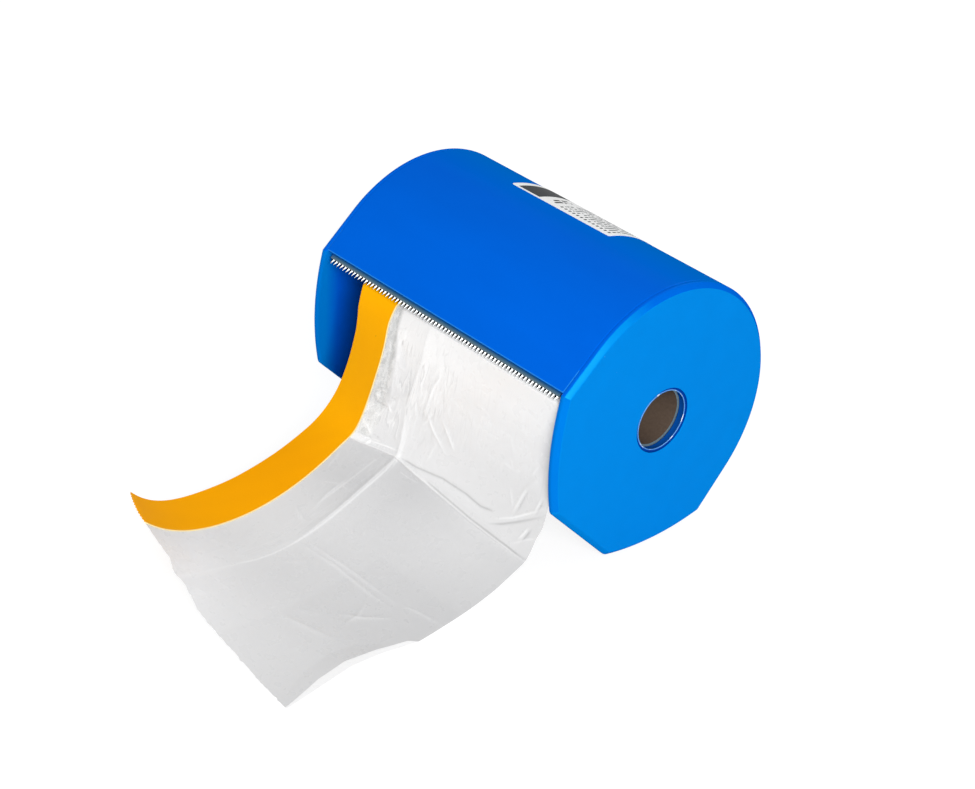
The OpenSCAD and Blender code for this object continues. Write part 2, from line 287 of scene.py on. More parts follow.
# The lips' outer corners and the front ends of the rims beside the caps are painted paler and glossier: a
# painted highlight along these rounded edges
lip_turn, rim_rows, rim_highlit = range(2, 5), (1, 2), 9
for face in cover.data.polygons[: (len(rows) - 1) * around]:
    row, place = divmod(face.index, around)
    at_rim = place < rim_highlit and (row in rim_rows or len(rows) - 2 - row in rim_rows)
    at_corner = min(place, edge - 2 - place) in lip_turn and place < edge - 1
    face.material_index = int(at_rim or at_corner)
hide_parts("cover_shell")
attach(cover, "housing")


# Cutter: a strip of hardened spring steel behind the front lip, with teeth ground into its edge.
# Each tooth has one bright ground flank, and its left-facing flank is painted near black: painted shade.
lip_tilt = 2 * math.pi - stance - side_angle
blade_half, blade_seat, blade_out, blade_thick, seat_gap = 70.5, 9.0, 2.4, 0.5, 0.03
tooth_pitch, tooth_height, groove = 2.0, 1.65, 0.15
teeth = int(2 * blade_half / tooth_pitch)
# The gullets between the teeth are ground a little deeper than the teeth are tall
gullet = 0.5
tooth_root = lip_run + blade_out - gullet
# The painted reflection of the lip, with the lip's shade, reaches this far past the lip
lip_reflection_reach = 1.9


def at_lip(points):
    """Points of the front lip's frame: along the roll, toward the lip's edge, into the cover."""
    p = np.asarray(points, float)
    y, z = p[:, 1], p[:, 2] - (cap_radius - cover_wall)
    return np.column_stack((p[:, 0], y * math.cos(lip_tilt) - z * math.sin(lip_tilt),
                            y * math.sin(lip_tilt) + z * math.cos(lip_tilt)))


def rolled_steel(name, colours, gloss, lip_reflection=None):
    """Bright or tempered strip steel: a metal with fine rolling lines along the strip, which stretch its
    reflections. A painted reflection of the blue lip and its shade, if given, fades from the lip toward the
    teeth."""
    material, tree, shader = fresh_material(name)
    where = add(tree, "ShaderNodeTexCoord").outputs["Object"]
    # Rolling lines 0.15 mm apart, each some 20 mm long
    drawn = add(tree, "ShaderNodeMapping", {"Vector": where, "Scale": (50, 6500, 6500)})
    lines = add(tree, "ShaderNodeTexNoise", {"Vector": drawn, "Scale": 1.0, "Detail": 2.0})
    skin = add(tree, "ShaderNodeMix", {"Factor": lines, 6: colours[0], 7: colours[1]}, data_type="RGBA")
    rough = add(tree, "ShaderNodeMapRange", {"Value": lines, 3: gloss - 0.06, 4: gloss + 0.06})
    bump = add(tree, "ShaderNodeBump", {"Height": lines, "Strength": 0.1, "Distance": 0.0001})
    wire(shader, {"Base Color": skin, "Metallic": 1.0, "Roughness": rough, "Normal": bump})
    if lip_reflection:
        toward_teeth = (0, math.cos(lip_tilt), math.sin(lip_tilt))
        reached = add(tree, "ShaderNodeVectorMath", {0: where, 1: toward_teeth}, operation="DOT_PRODUCT")
        start, stop = lip_run / 1000, (lip_run + lip_reflection_reach) / 1000
        fade = add(tree, "ShaderNodeMapRange", {"Value": reached, 1: start, 2: stop, 3: 1.0, 4: 0.0})
        mix_in(material, lip_reflection, fade)
    return material


def repeat_along_roll(name, unit, count, pitch, first, plain, left):
    """A row of copies of unit along X. Faces that look to the left take the second material."""
    tree = bpy.data.node_groups.new(name, "GeometryNodeTree")
    values = {"Unit": ("Object", unit), "Count": ("Int", count),
              "Pitch": ("Float", pitch / 1000), "First": ("Float", first / 1000),
              "Finish": ("Material", plain), "Left finish": ("Material", left)}
    for label, (kind, value) in values.items():
        tree.interface.new_socket(label, in_out="INPUT", socket_type="NodeSocket" + kind)
    tree.interface.new_socket("Row", in_out="OUTPUT", socket_type="NodeSocketGeometry")
    given = add(tree, "NodeGroupInput").outputs
    start = add(tree, "ShaderNodeCombineXYZ", {"X": given["First"]})
    step = add(tree, "ShaderNodeCombineXYZ", {"X": given["Pitch"]})
    line = add(tree, "GeometryNodeMeshLine", {"Count": given["Count"], "Start Location": start,
                                              "Offset": step}, mode="OFFSET")
    shape = add(tree, "GeometryNodeObjectInfo", {"Object": given["Unit"], "As Instance": True})
    row = add(tree, "GeometryNodeInstanceOnPoints", {"Points": line, "Instance": shape.outputs["Geometry"]})
    real = add(tree, "GeometryNodeRealizeInstances", {0: row})
    face = add(tree, "ShaderNodeSeparateXYZ", {0: add(tree, "GeometryNodeInputNormal")})
    leftward = add(tree, "FunctionNodeCompare", {0: face.outputs["X"], 1: -0.2}, operation="LESS_THAN")
    whole = add(tree, "GeometryNodeSetMaterial", {"Geometry": real, "Material": given["Finish"]})
    flank = add(tree, "GeometryNodeSetMaterial", {"Geometry": whole, "Selection": leftward,
                                                  "Material": given["Left finish"]})
    add(tree, "NodeGroupOutput", {0: flank})
    made = bpy.data.objects.new(name, bpy.data.meshes.new(name))
    scene.collection.objects.link(made)
    modifier = made.modifiers.new("row", "NODES")
    modifier.node_group = tree
    for item in tree.interface.items_tree:
        if item.in_out == "INPUT":
            modifier[item.identifier] = values[item.name][1]
    mesh = bpy.data.meshes.new_from_object(made.evaluated_get(bpy.context.evaluated_depsgraph_get()))
    made.modifiers.clear()
    made.data = mesh
    bpy.data.objects.remove(unit)
    return made


# The strip's teal toward the lip is a painted reflection of the lip, with its shade
tempered = rolled_steel("tempered_spring_steel", ("#8a9ea4", "#a6b9be"), 0.42, "#2f8db4")
ground = rolled_steel("ground_spring_steel", ("#aeb2b4", "#bcc0c2"), 0.46)
# Steel painted near black for the flanks that face left: painted shade
shadowed = rolled_steel("shaded_flank_steel", ("#060708", "#0e1012"), 0.6)
low, high, rim, strip_rows = seat_gap, seat_gap + blade_thick, 0.06, 30
strip_back, strip_edge = lip_run - blade_seat, tooth_root - groove
ring = [(strip_back, low + rim), (strip_back + rim, low), (strip_edge, low),
        (strip_edge, high), (strip_back + rim, high), (strip_back, high - rim)]
points = at_lip([(x, y, z) for x in np.linspace(-blade_half, blade_half, strip_rows) for y, z in ring])
blade = piece("cutter_strip", points, hoops(strip_rows, len(ring), ends=True), tempered, crease=20)
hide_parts("cutter_blade")
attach(blade, "housing")

h, ridge, tip_blunt = tooth_pitch / 2, 0.42, 0.1
tip_edge = tooth_root + gullet + tooth_height - tip_blunt
tooth = piece("tooth", at_lip([
    (ridge, strip_edge, low), (-h, strip_edge, low), (h, strip_edge, low), (-h, tooth_root, high),
    (h, tooth_root, high), (ridge / 2, tip_edge - tip_blunt / 2, low + tip_blunt), (-h, strip_edge, high),
    (h, strip_edge, high), (0, tip_edge, high)]),
    [(0, 1, 3), (0, 3, 5), (0, 4, 2), (0, 5, 4), (3, 8, 5), (4, 5, 8), (1, 6, 3), (2, 4, 7),
     (6, 7, 4, 8, 3), (1, 0, 2, 7, 6)], ground, crease=5)
teeth_row = repeat_along_roll("cutter_teeth", tooth, teeth, tooth_pitch, -(teeth - 1) * h, ground, shadowed)
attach(teeth_row, "housing")


# Heat stakes: pins of the cover that pass through the strip and are melted down to round heads.
# They hold the cutter and are seen only from below.
stake_radius, stake_head, stakes, stake_gap, stake_sides = 1.5, 1.0, 5, 28.25, 24
stake_seat, under = lip_run - blade_seat / 2, blade_thick + 2 * seat_gap
dome = [(stake_radius, -0.4), (stake_radius, under), (2.55, under), (2.62, under + 0.1), (2.5, under + 0.35),
        (2.1, under + 0.7), (1.4, under + 0.92), (0.5, under + stake_head)]
turns = np.linspace(0, 2 * math.pi, stake_sides, endpoint=False)
pin = at_lip([(r * math.cos(a), stake_seat + r * math.sin(a), z) for r, z in dome for a in turns])
stake = piece("stake", pin, hoops(len(dome), stake_sides, ends=True), cover_blue)
first_stake = -(stakes - 1) / 2 * stake_gap
stakes_row = repeat_along_roll("heat_stakes", stake, stakes, stake_gap, first_stake, cover_blue, cover_blue)
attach(stakes_row, "housing")


# End caps: two bevelled plates of lighter blue plastic that push into the cover with a tongue.
# A socket on the inside carries the core; its hole has a pale bead, rubbed and with a painted highlight,
# inside a shallow groove painted dark as painted shade.
# The narrow outer wall beside the cover is painted as deep a blue as the cover, and the hole deeper still:
# painted shade.
toe_round, lip_round, least_round = 4.0, 0.7, 0.04
chord = np.linalg.norm(toe - cap_lip)
bow_radius = chord**2 / (8 * edge_bow) + edge_bow / 2
level = np.array((math.cos(stance), math.sin(stance)))
bow_center = (cap_lip + toe) / 2 - (bow_radius - edge_bow) * level
back_points, lip_points, bow_points, toe_points = 50, 7, 44, 10
side_shares, foot_shares = (0.2, 0.4, 0.6, 0.8, 0.93), np.array((0.85, 0.6, 0.3, 0.0))


def sweep(center, radius, start, stop, count):
    """Points of an arc between two unit directions, the short way round."""
    a, b = math.atan2(start[1], start[0]), math.atan2(stop[1], stop[0])
    return [center + radius * np.array((math.cos(t), math.sin(t))) for t in np.linspace(a, b, count)]


def cap_ring(inset):
    """The caps' outline moved inward by inset: round back, straight side, lip, bowed edge and toe, twice."""
    r = cap_radius - inset
    bend = max(least_round, lip_round - inset)
    foot = (r - bend) * side_out - bow_center
    along = foot @ side_way
    run = math.sqrt(along**2 - foot @ foot + (bow_radius - inset - bend) ** 2) - along
    lip = foot + bow_center + run * side_way
    tip = max(least_round, toe_round - inset)
    p = toe[0] - inset - tip
    heel_up = math.sqrt((bow_radius - inset - tip) ** 2 - (p - bow_center[0]) ** 2)
    heel = np.array((p, bow_center[1] + heel_up))
    back_end, lip_start = r * side_out, lip + bend * side_out
    lip_way, heel_way = unit_way(lip - bow_center), unit_way(heel - bow_center)
    half = sweep(np.zeros(2), r, (-1.0, 1e-9), side_out, back_points)
    half += [back_end + t * (lip_start - back_end) for t in side_shares]
    half += sweep(lip, bend, side_out, lip_way, lip_points)
    half += sweep(bow_center, bow_radius - inset, lip_way, heel_way, bow_points)[1:]
    half += sweep(heel, tip, heel_way, np.array((1.0, 0.0)), toe_points)[1:]
    half += [np.array((toe[0] - inset, q)) for q in heel[1] * foot_shares]
    return np.array(half + [np.array((p, -q)) for p, q in half[-2:0:-1]])


# The outline's steps as (inset, distance past the cover): the seam, the wall, the bevel and the face
inner_edge = [(1.2, 0.0), (0.32, 0.0), (0.1, 0.09), (0.0, 0.32)]
bevelled_edge = [(0.0, 1.45), (0.07, 1.72), (0.22, 1.95), (1.8, 3.53), (2.0, 3.68), (2.3, 3.75),
                 (2.9, 3.75)]
# The hub's steps as (radius, distance past the cover): counterbore, groove, bead, hole and socket
hub_steps = [(15.4, 3.75), (14.85, 3.75), (14.66, 3.68), (14.6, 3.5), (14.6, 3.05), (14.5, 2.95),
             (13.95, 2.95), (13.72, 2.95), (13.62, 3.02), (13.56, 3.2), (13.46, 3.3), (13.32, 3.3),
             (13.22, 3.2), (13.2, 3.0), (13.4, 2.7), (13.4, 0.25), (13.6, 0.0), (14.3, 0.0), (14.3, -2.2),
             (14.5, -2.5), (16.3, -2.5), (16.5, -2.3), (16.5, -0.25), (16.8, 0.0), (17.4, 0.0)]
# Places of the finishes: rows of the outline, rows of the hub, and points of the half outline
wall_rows, bevel_rows = range(1, 5), range(5, 8)
groove_row, bead_row, hole_row = (len(inner_edge + bevelled_edge) + k for k in (3, 8, 13))
side_end = back_points + len(side_shares) + 1
bow_end = side_end + lip_points + bow_points - 3
# The tongue's section as (distance inside the cover, distance past its end), and its arc
tongue = [(2.1, 0.4), (2.1, -7.8), (1.9, -8.0), (1.0, -8.0), (0.3, -7.0), (0.3, 0.4)]
tongue_trim, tongue_rows = 0.035, 100


def cap_mesh(name, node, hand):
    """One end cap; hand is 1 for the right cap and -1 for the left."""
    wheel = cap_ring(bevelled_edge[-1][0])
    spoke = np.arctan2(wheel[:, 1], wheel[:, 0])
    spokes = np.column_stack((np.cos(spoke), np.sin(spoke)))
    rows = [upright(hand * (cover_half + d), cap_ring(i)) for i, d in inner_edge + bevelled_edge]
    rows += [upright(hand * (cover_half + d), r * spokes) for r, d in hub_steps]
    count, last = len(wheel), len(rows) - 1
    points = np.vstack(rows)
    points[:, 2] = np.maximum(points[:, 2], counter_z)
    stem = [(cap_radius - cover_wall - i, hand * (cover_half + d)) for i, d in tongue]
    turn = np.linspace(side_angle + tongue_trim, 2 * math.pi - side_angle - tongue_trim, tongue_rows)
    arch = [upright([x for r, x in stem], [(r * math.cos(a), r * math.sin(a)) for r, x in stem]) for a in turn]
    faces = hoops(len(rows), count, looped=True) + hoops(tongue_rows, len(tongue), len(points), ends=True)
    made = piece(name, np.vstack((points, *arch)), faces, *cap_finishes)
    for face in made.data.polygons[: len(rows) * count]:
        row, place = divmod(face.index, count)
        place = min(place, count - 1 - place)
        finish = cap_blue
        if row in (0, last):
            finish = inner_blue
        elif row >= groove_row:
            finish = groove_blue if row < bead_row else rubbed_highlit_blue if row < hole_row else hole_blue
        elif place < side_end:
            # The outer wall is painted the cover's deep blue: painted shade
            finish = cover_blue if row in wall_rows else bevel_blue if row in bevel_rows else cap_blue
        elif place < bow_end and row <= bevel_rows[-1]:
            finish = edge_blue
        face.material_index = cap_finishes.index(finish)
    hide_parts(node)
    return made


cap_blue = moulded_plastic("moulded_polypropylene_caps", "#007fd5", "#007ace")
bevel_blue = moulded_plastic("highlit_polypropylene_bevel", "#0082d5", "#007dce", 0.5, "#2fd0ff")
# The bevel is given a strong sheen only at the front, for a highlight there, and painted a deep blue toward
# the back: painted highlight in front, painted shade behind
depth = shade_toward(bevel_blue, "#0060ce", -0.026, -0.011)
tree = bevel_blue.node_tree
sheen = add(tree, "ShaderNodeMapRange", {"Value": depth, 1: -0.032, 2: -0.016, 3: 0.5, 4: 0.0})
wire(tree.nodes["Principled BSDF"], {"Specular IOR Level": sheen})
# The inside is painted a dark blue, lighter at its open front edge: painted shade deeper in, where the roll
# and the cover shade it
inner_blue = moulded_plastic("moulded_polypropylene_inside", "#0059d6", "#0055ce")
shade_toward(inner_blue, "#0077d3", -0.0485, -0.0555)
# The bowed front edge is painted a slightly deeper blue than the face, against the stronger light on it:
# painted shade
edge_blue = moulded_plastic("moulded_polypropylene_edge", "#0073d0", "#006ec9")
# The groove is painted a dark navy: painted shade in the recess
groove_blue = moulded_plastic("shaded_polypropylene_groove", "#003d98", "#00368c")
# The hole's wall is painted a deeper blue: painted shade in the recess
hole_blue = moulded_plastic("shaded_polypropylene_hole", "#0a52aa", "#094ea3")
# The bead is painted pale, partly from rubbing and partly as a painted highlight on its rim, with white
# painted glints about 6 mm long in a few places
rubbed_highlit_blue = moulded_plastic("rubbed_highlit_polypropylene_rim", "#7fb4ea", "#1e74cc")
tree = rubbed_highlit_blue.node_tree
where = add(tree, "ShaderNodeTexCoord").outputs["Object"]
glint_noise = add(tree, "ShaderNodeTexNoise", {"Vector": where, "Scale": 160.0, "Detail": 3.0})
mix_in(rubbed_highlit_blue, "#e4f0ff", add(tree, "ShaderNodeMapRange", {"Value": glint_noise, 1: 0.56, 2: 0.64}))
cap_finishes = (cap_blue, rubbed_highlit_blue, cover_blue, bevel_blue, edge_blue, groove_blue, inner_blue, hole_blue)
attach(cap_mesh("left_cap", "left_end_cap", -1), "housing")
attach(cap_mesh("right_cap", "right_end_cap", 1), "cap")


# Core: a tube of spirally wound grey-brown board, cut square, that turns in the sockets of the caps.
# The film and the tape are wound on it; the left end stays bare.
core_radius, core_outer, core_half, core_round, core_sides = 12.7, 14.0, 72.4, 0.1, 128


def lathe(name, profile, count, *materials, crease=38):
    """A closed ring-shaped piece turned about the roll axis from a closed profile of (station, radius)."""
    turn = np.linspace(0, 2 * math.pi, count, endpoint=False)
    rows = [np.column_stack((np.full(count, x), r * np.cos(turn), r * np.sin(turn))) for x, r in profile]
    return piece(name, np.vstack(rows), hoops(len(rows), count, looped=True), *materials, crease=crease)


board, tree, shader = fresh_material("wound_core_board")
where = add(tree, "ShaderNodeTexCoord").outputs["Object"]
axes = add(tree, "ShaderNodeSeparateXYZ", {0: where}).outputs
# One ply is a 50 mm band, so its seam climbs 50 mm a turn
angle = add(tree, "ShaderNodeMath", {0: axes["Y"], 1: axes["Z"]}, operation="ARCTAN2")
climb = add(tree, "ShaderNodeMath", {0: angle, 1: -1 / (2 * math.pi), 2: 0.33}, operation="MULTIPLY_ADD")
ply = add(tree, "ShaderNodeMath", {0: axes["X"], 1: 20.0, 2: climb}, operation="MULTIPLY_ADD")
seam = add(tree, "ShaderNodeMath", {0: ply}, operation="FRACT")
gap = add(tree, "ShaderNodeMapRange", {"Value": seam, 1: 0.0, 2: 0.022, 3: 0.6, 4: 0.0})
# Fibres about 1 mm long
fibre = add(tree, "ShaderNodeTexNoise", {"Vector": where, "Scale": 900.0, "Detail": 6.0, "Roughness": 0.7})
# The board is painted much darker than kraft: painted shade for the inside of the tube
shaded_kraft = add(tree, "ShaderNodeMix", {"Factor": fibre, 6: "#4b3d34", 7: "#6f5e50"}, data_type="RGBA")
worn = add(tree, "ShaderNodeMix", {"Factor": gap, 6: shaded_kraft, 7: "#8f8074"}, data_type="RGBA")
relief = add(tree, "ShaderNodeMath", {0: gap, 1: -2.0, 2: fibre}, operation="MULTIPLY_ADD")
bump = add(tree, "ShaderNodeBump", {"Height": relief, "Strength": 0.35, "Distance": 0.0002})
wire(shader, {"Base Color": worn, "Roughness": 0.85, "Specular IOR Level": 0.25, "Normal": bump})
# The cut ends are painted blue-grey, lighter than the board: grey pulp with a painted highlight on the rim,
# with fibres just under 1 mm
cut_board, tree, shader = fresh_material("cut_core_board")
where = add(tree, "ShaderNodeTexCoord").outputs["Object"]
pulp = add(tree, "ShaderNodeTexNoise", {"Vector": where, "Scale": 1100.0, "Detail": 4.0})
mottled = add(tree, "ShaderNodeMix", {"Factor": pulp, 6: "#4c6472", 7: "#71868f"}, data_type="RGBA")
wire(shader, {"Base Color": mottled, "Roughness": 0.9})
core = lathe("core", [
    (-core_half, core_radius + core_round), (-core_half, core_outer - core_round),
    (core_round - core_half, core_outer), (0, core_outer), (core_half - core_round, core_outer),
    (core_half, core_outer - core_round), (core_half, core_radius + core_round),
    (core_half - core_round, core_radius), (0, core_radius), (core_round - core_half, core_radius)],
    core_sides, board, cut_board)
# Rows of the two cut faces and of their inner corners
cut_rows = (0, 5, 6, 9)
for face in core.data.polygons:
    face.material_index = int(face.index // core_sides in cut_rows)
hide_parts("core_tube")
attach(core, "roll")


# Wound film and wound tape: folded polyethylene film on the core, with masking tape along its left edge.
# The ends show the edges of the turns, a little uneven because the film is wound by machine without pressing.
roll_radius, web_left, tape_right, film_right = 38.0, -44.5, -22.5, 69.9
end_turns, roll_sides, end_gap = 26, 144, 0.02
core_gap, shoulder_drop, shoulder_in, skin_dent, skin_step = 0.05, 0.4, 0.3, 0.12, 4
scatter = np.random.default_rng(7)


def wound(name, x0, x1, uneven, material):
    """A roll between two stations, with turns whose edges lie unevenly at both ends."""
    radii = np.linspace(core_outer + core_gap, roll_radius - shoulder_drop, end_turns)
    left = [(x0 + uneven * scatter.random(), r) for r in radii]
    right = [(x1 - uneven * scatter.random(), r) for r in radii[::-1]]
    places = np.linspace(x0 + shoulder_in, x1 - shoulder_in, int((x1 - x0) / skin_step))
    skin = [(x, roll_radius - skin_dent * scatter.random()) for x in places]
    return lathe(name, left + skin + right, roll_sides, material, crease=60)


def wound_sheet(name, light, dark, rough):
    """A roll seen from outside: turns drawn 0.8 mm thick so that they show, faint pulls along the roll."""
    material, tree, shader = fresh_material(name)
    where = add(tree, "ShaderNodeTexCoord").outputs["Object"]
    flat = add(tree, "ShaderNodeMapping", {"Vector": where, "Scale": (0, 1, 1)})
    turns = add(tree, "ShaderNodeTexWave", {"Vector": flat, "Scale": 390.0, "Distortion": 1.5, "Detail": 2.0,
                                            "Detail Scale": 1.0}, wave_type="RINGS", rings_direction="X")
    pulls = add(tree, "ShaderNodeTexNoise", {"Vector": where, "Scale": 120.0, "Detail": 5.0})
    turn = turns.outputs["Fac"]
    mixed = add(tree, "ShaderNodeMath", {0: turn, 1: 0.55, 2: pulls}, operation="MULTIPLY_ADD")
    level = add(tree, "ShaderNodeMapRange", {"Value": mixed, 1: 0.3, 2: 1.2})
    tone = add(tree, "ShaderNodeMix", {"Factor": level, 6: dark, 7: light}, data_type="RGBA")
    bump = add(tree, "ShaderNodeBump", {"Height": mixed, "Strength": 0.4, "Distance": 0.0004})
    wire(shader, {"Base Color": tone, "Roughness": rough, "Normal": bump})
    return material


film_turns = wound_sheet("wound_polyethylene", "#eceded", "#c9cbcc", 0.38)
film_roll = wound("film_wound", tape_right + end_gap, film_right, 0.5, film_turns)
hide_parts("film_roll")
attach(film_roll, "roll")
tape_turns = wound_sheet("wound_paper_tape", "#f7ae0c", "#d98f04", 0.6)
tape_roll = wound("tape_wound", web_left, tape_right - end_gap, 0.15, tape_turns)
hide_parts("tape_roll")
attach(tape_roll, "roll")


# Pulled-out film: thin milky polyethylene, folded in layers, hanging from the teeth and lying on the counter.
# It keeps its lengthwise fold, breaks over a crosswise one and is crumpled where it was handled.
# Its edges are curves of (forward, up) points: one arc hangs from the teeth, the next lies on the counter.
lift, tip = np.array((9.1, 97.5)), np.array((56.3, 86.0))
tape_left_edge = [[(56.3, 86.0), (63.5, 67.8), (62.7, 41.6), (84.0, 29.9)],
                  [(84.0, 29.9), (96.6, 23.1), (141.9, 7.3), (176.2, 29.8)]]
tape_right_edge = [[(56.3, 86.0), (67.9, 75.0), (71.6, 40.4), (83.0, 33.0)],
                   [(83.0, 33.0), (93.3, 26.3), (140.6, -1.1), (186.5, 32.0)]]
film_free_edge = [[(56.3, 86.0), (54.8, 62.8), (55.1, 30.0), (66.8, 15.1)],
                  [(66.8, 15.1), (91.8, 6.0), (105.4, -2.7), (187.0, 0.3)]]
# Share of the hanging curves at which the film breaks onto the counter, by station
fold_x, fold_at = np.array([(-22.5, 1.0), (-13, 0.945), (-3.2, 0.908), (6.8, 0.942), (23, 0.972),
                            (38, 0.995), (53, 1.0)]).T
hang, lie = 66.0, 115.0
# Film this far from the tape is pulled straight, and none lies lower than this over the counter
askew_reach, web_clear, film_clear = 25, 0.25, 0.15


def edge_line(arcs, way, fold):
    """Points of an edge; way is -1 at the roll, 0 at the teeth, 1 at the fold and 2 at the cut."""
    def cubic(c, u):
        return (1 - u) ** 3 * c[0] + 3 * u * (1 - u) ** 2 * c[1] + 3 * u * u * (1 - u) * c[2] + u**3 * c[3]

    drop, run = np.array(arcs)
    rise = cubic(drop, fold) - drop[3]
    hanging = cubic(drop, np.clip(way, 0, 1) * fold)
    lying = cubic((run[0] + rise, run[1] + rise, run[2], run[3]), np.clip(way - 1, 0, None))
    hidden = tip + np.minimum(way, 0) * (tip - lift)
    return np.where(way < 0, hidden, np.where(way <= 1, hanging, lying))


def web_points(x, way):
    """Points of the smooth web at stations x and ways along it, as [x, y, z]."""
    fold = np.interp(x, fold_x, fold_at)[:, None]
    edges = tape_left_edge, tape_right_edge, film_free_edge
    a, b, c = (edge_line(arcs, way[:, None], fold) for arcs in edges)
    k = np.clip((x - web_left) / (tape_right - web_left), 0, 1)[:, None]
    # The tape's cut end curls up out of a slight sag, more on the left
    end = np.clip((way - 1.6) / 0.4, 0, 1)[:, None]
    a = a + np.hstack((1.6 * end**3, 6.5 * end**5 - 3.9 * end**2))
    b = b + np.hstack((-0.4 * end**3, 3.0 * end**5 - 2.0 * end**2))
    u = np.clip((x - tape_right) / (film_right - tape_right), 0, 1)[:, None]
    at = np.where((x <= tape_right)[:, None], a + k * (b - a), b + (1 - (1 - u) ** 2) * (c - b))
    # The web is pulled askew: to the left at the teeth, and a little to the right below them
    askew = np.interp(way, [-1, 0, 0.05, 0.15, 0.22, 0.3, 0.36], [0, -2.8, -2.5, -1.9, -0.9, -0.1, 0])
    askew += k[:, 0] * np.interp(way, [0.2, 0.4, 0.9, 1.1], [0, 0.9, 0.9, 0])
    askew *= np.clip(1 - (x - tape_right) / askew_reach, 0, 1)
    return np.column_stack((x + askew, -at[:, 0], np.maximum(at[:, 1], web_clear) + counter_z))


def run_of(way):
    """Distance along the web in mm, from the teeth."""
    return np.where(way < 1, hang * way, hang + lie * (way - 1))


def near(x, run, line):
    """Distance in mm from points of the flat web to a line of (station, way) points, and the share of it."""
    px, line_way = np.array(line, float).T
    pr = run_of(line_way)
    best, share = np.full(x.shape, 1e9), np.zeros(x.shape)
    for k in range(len(line) - 1):
        dx, dr = px[k + 1] - px[k], pr[k + 1] - pr[k]
        t = np.clip(((x - px[k]) * dx + (run - pr[k]) * dr) / (dx * dx + dr * dr), 0, 1)
        d = np.hypot(x - px[k] - t * dx, run - pr[k] - t * dr)
        share = np.where(d < best, (k + t) / (len(line) - 1), share)
        best = np.minimum(best, d)
    return best, share


# Folds as (points, height, half width), their points as (station, way); a groove has a height below 0
# The lengthwise fold is a flat pleat between two lines
left_pleat = [(-3.4, 0.0), (-3.8, 0.28), (-5.2, 0.5), (-4.9, 0.7), (-2.7, 0.95), (-3.1, 1.14), (-3.4, 1.29),
              (-2.7, 1.46), (-1.3, 1.62), (-1.3, 1.71), (-1.6, 1.82), (-0.2, 2.0)]
right_pleat = [(-0.2, 0.0), (-1.3, 0.27), (-2.7, 0.5), (-2.7, 0.69), (-2.0, 0.94), (-0.9, 1.13),
               (-0.9, 1.28), (-0.2, 1.46), (0.9, 1.62), (0.1, 1.71)]
folds = [(left_pleat[3:9], 0.35, 0.75), (right_pleat[3:6], 0.25, 0.75), (left_pleat[:4], 0.1, 0.8),
         (right_pleat[:4], 0.08, 0.7), (left_pleat, 0.2, 4.0)]
# The crosswise break, with a flattened strip above it
folds += [([(-21.5, 0.99), (-13, 0.984), (-3.1, 0.981), (6, 0.975), (23, 0.978), (38, 0.98), (53, 0.987),
            (71, 1.0)], 0.7, 0.9), ([(-16.5, 0.945), (-10, 0.935), (-3.5, 0.93)], 0.4, 0.6),
          ([(0, 0.957), (6.2, 0.929), (19, 0.867), (31, 0.849), (39.8, 0.855), (45.5, 0.837)], -0.4, 0.55),
          ([(3, 0.965), (12, 0.94), (22, 0.92), (31, 0.915), (38, 0.92), (46, 0.94), (58, 0.97)], 0.6, 3.0),
          ([(14, 0.96), (24, 0.964), (38, 0.968), (47.6, 0.971), (57.6, 0.977), (69, 0.992)], -0.3, 0.4)]
# Pulls at the lower right corner of the hanging part
folds += [([(46.6, 0.92), (51.6, 0.877), (58.7, 0.803), (70.9, 0.68)], -0.35, 0.45),
          ([(48.4, 0.867), (56.6, 0.79), (61.6, 0.732), (70.1, 0.64)], 0.25, 0.45),
          ([(55.1, 0.769), (56.9, 0.677), (59.1, 0.584)], 0.15, 0.4),
          ([(56.6, 0.769), (58.4, 0.68), (60.5, 0.584)], -0.12, 0.4),
          ([(65.5, 0.701), (68, 0.584)], 0.15, 0.4), ([(66.9, 0.698), (69.1, 0.591)], -0.12, 0.4),
          ([(60.5, 0.504), (63.4, 0.428)], 0.12, 0.4),
          ([(64.1, 0.907), (65.5, 0.846), (66.9, 0.79)], -0.2, 0.4),
          ([(62.3, 0.901), (65.1, 0.794)], 0.2, 0.4), ([(44.1, 0.526), (50.9, 0.538)], 0.08, 0.4),
          ([(50.9, 0.64), (54.4, 0.741)], 0.1, 0.5), ([(54, 0.70), (62, 0.53), (69, 0.41)], 0.2, 0.9),
          ([(60, 0.95), (66, 0.87), (71, 0.82)], 0.15, 0.5)]
# Creases pressed into the lying part
folds += [([(2.6, 1.609), (17, 1.599), (31.6, 1.606), (48, 1.609)], 0.3, 0.5),
          ([(2.6, 1.587), (20, 1.578), (47, 1.578)], 0.3, 0.5),
          ([(50.5, 1.569), (58, 1.55), (70, 1.541)], 0.3, 0.5),
          ([(40, 1.646), (43.7, 1.701), (44, 1.747)], 0.25, 0.6),
          ([(26.6, 1.849), (37, 1.83), (48, 1.809)], 0.25, 0.6),
          ([(38.7, 1.732), (45, 1.701), (52.6, 1.639)], 0.25, 0.6),
          ([(-21.3, 1.129), (-20.2, 1.243)], 0.25, 0.6),
          ([(-10.9, 1.258), (-11.3, 1.366), (-9.5, 1.473)], 0.25, 0.6),
          ([(-15.2, 1.486), (-7.7, 1.526)], 0.2, 0.6)]
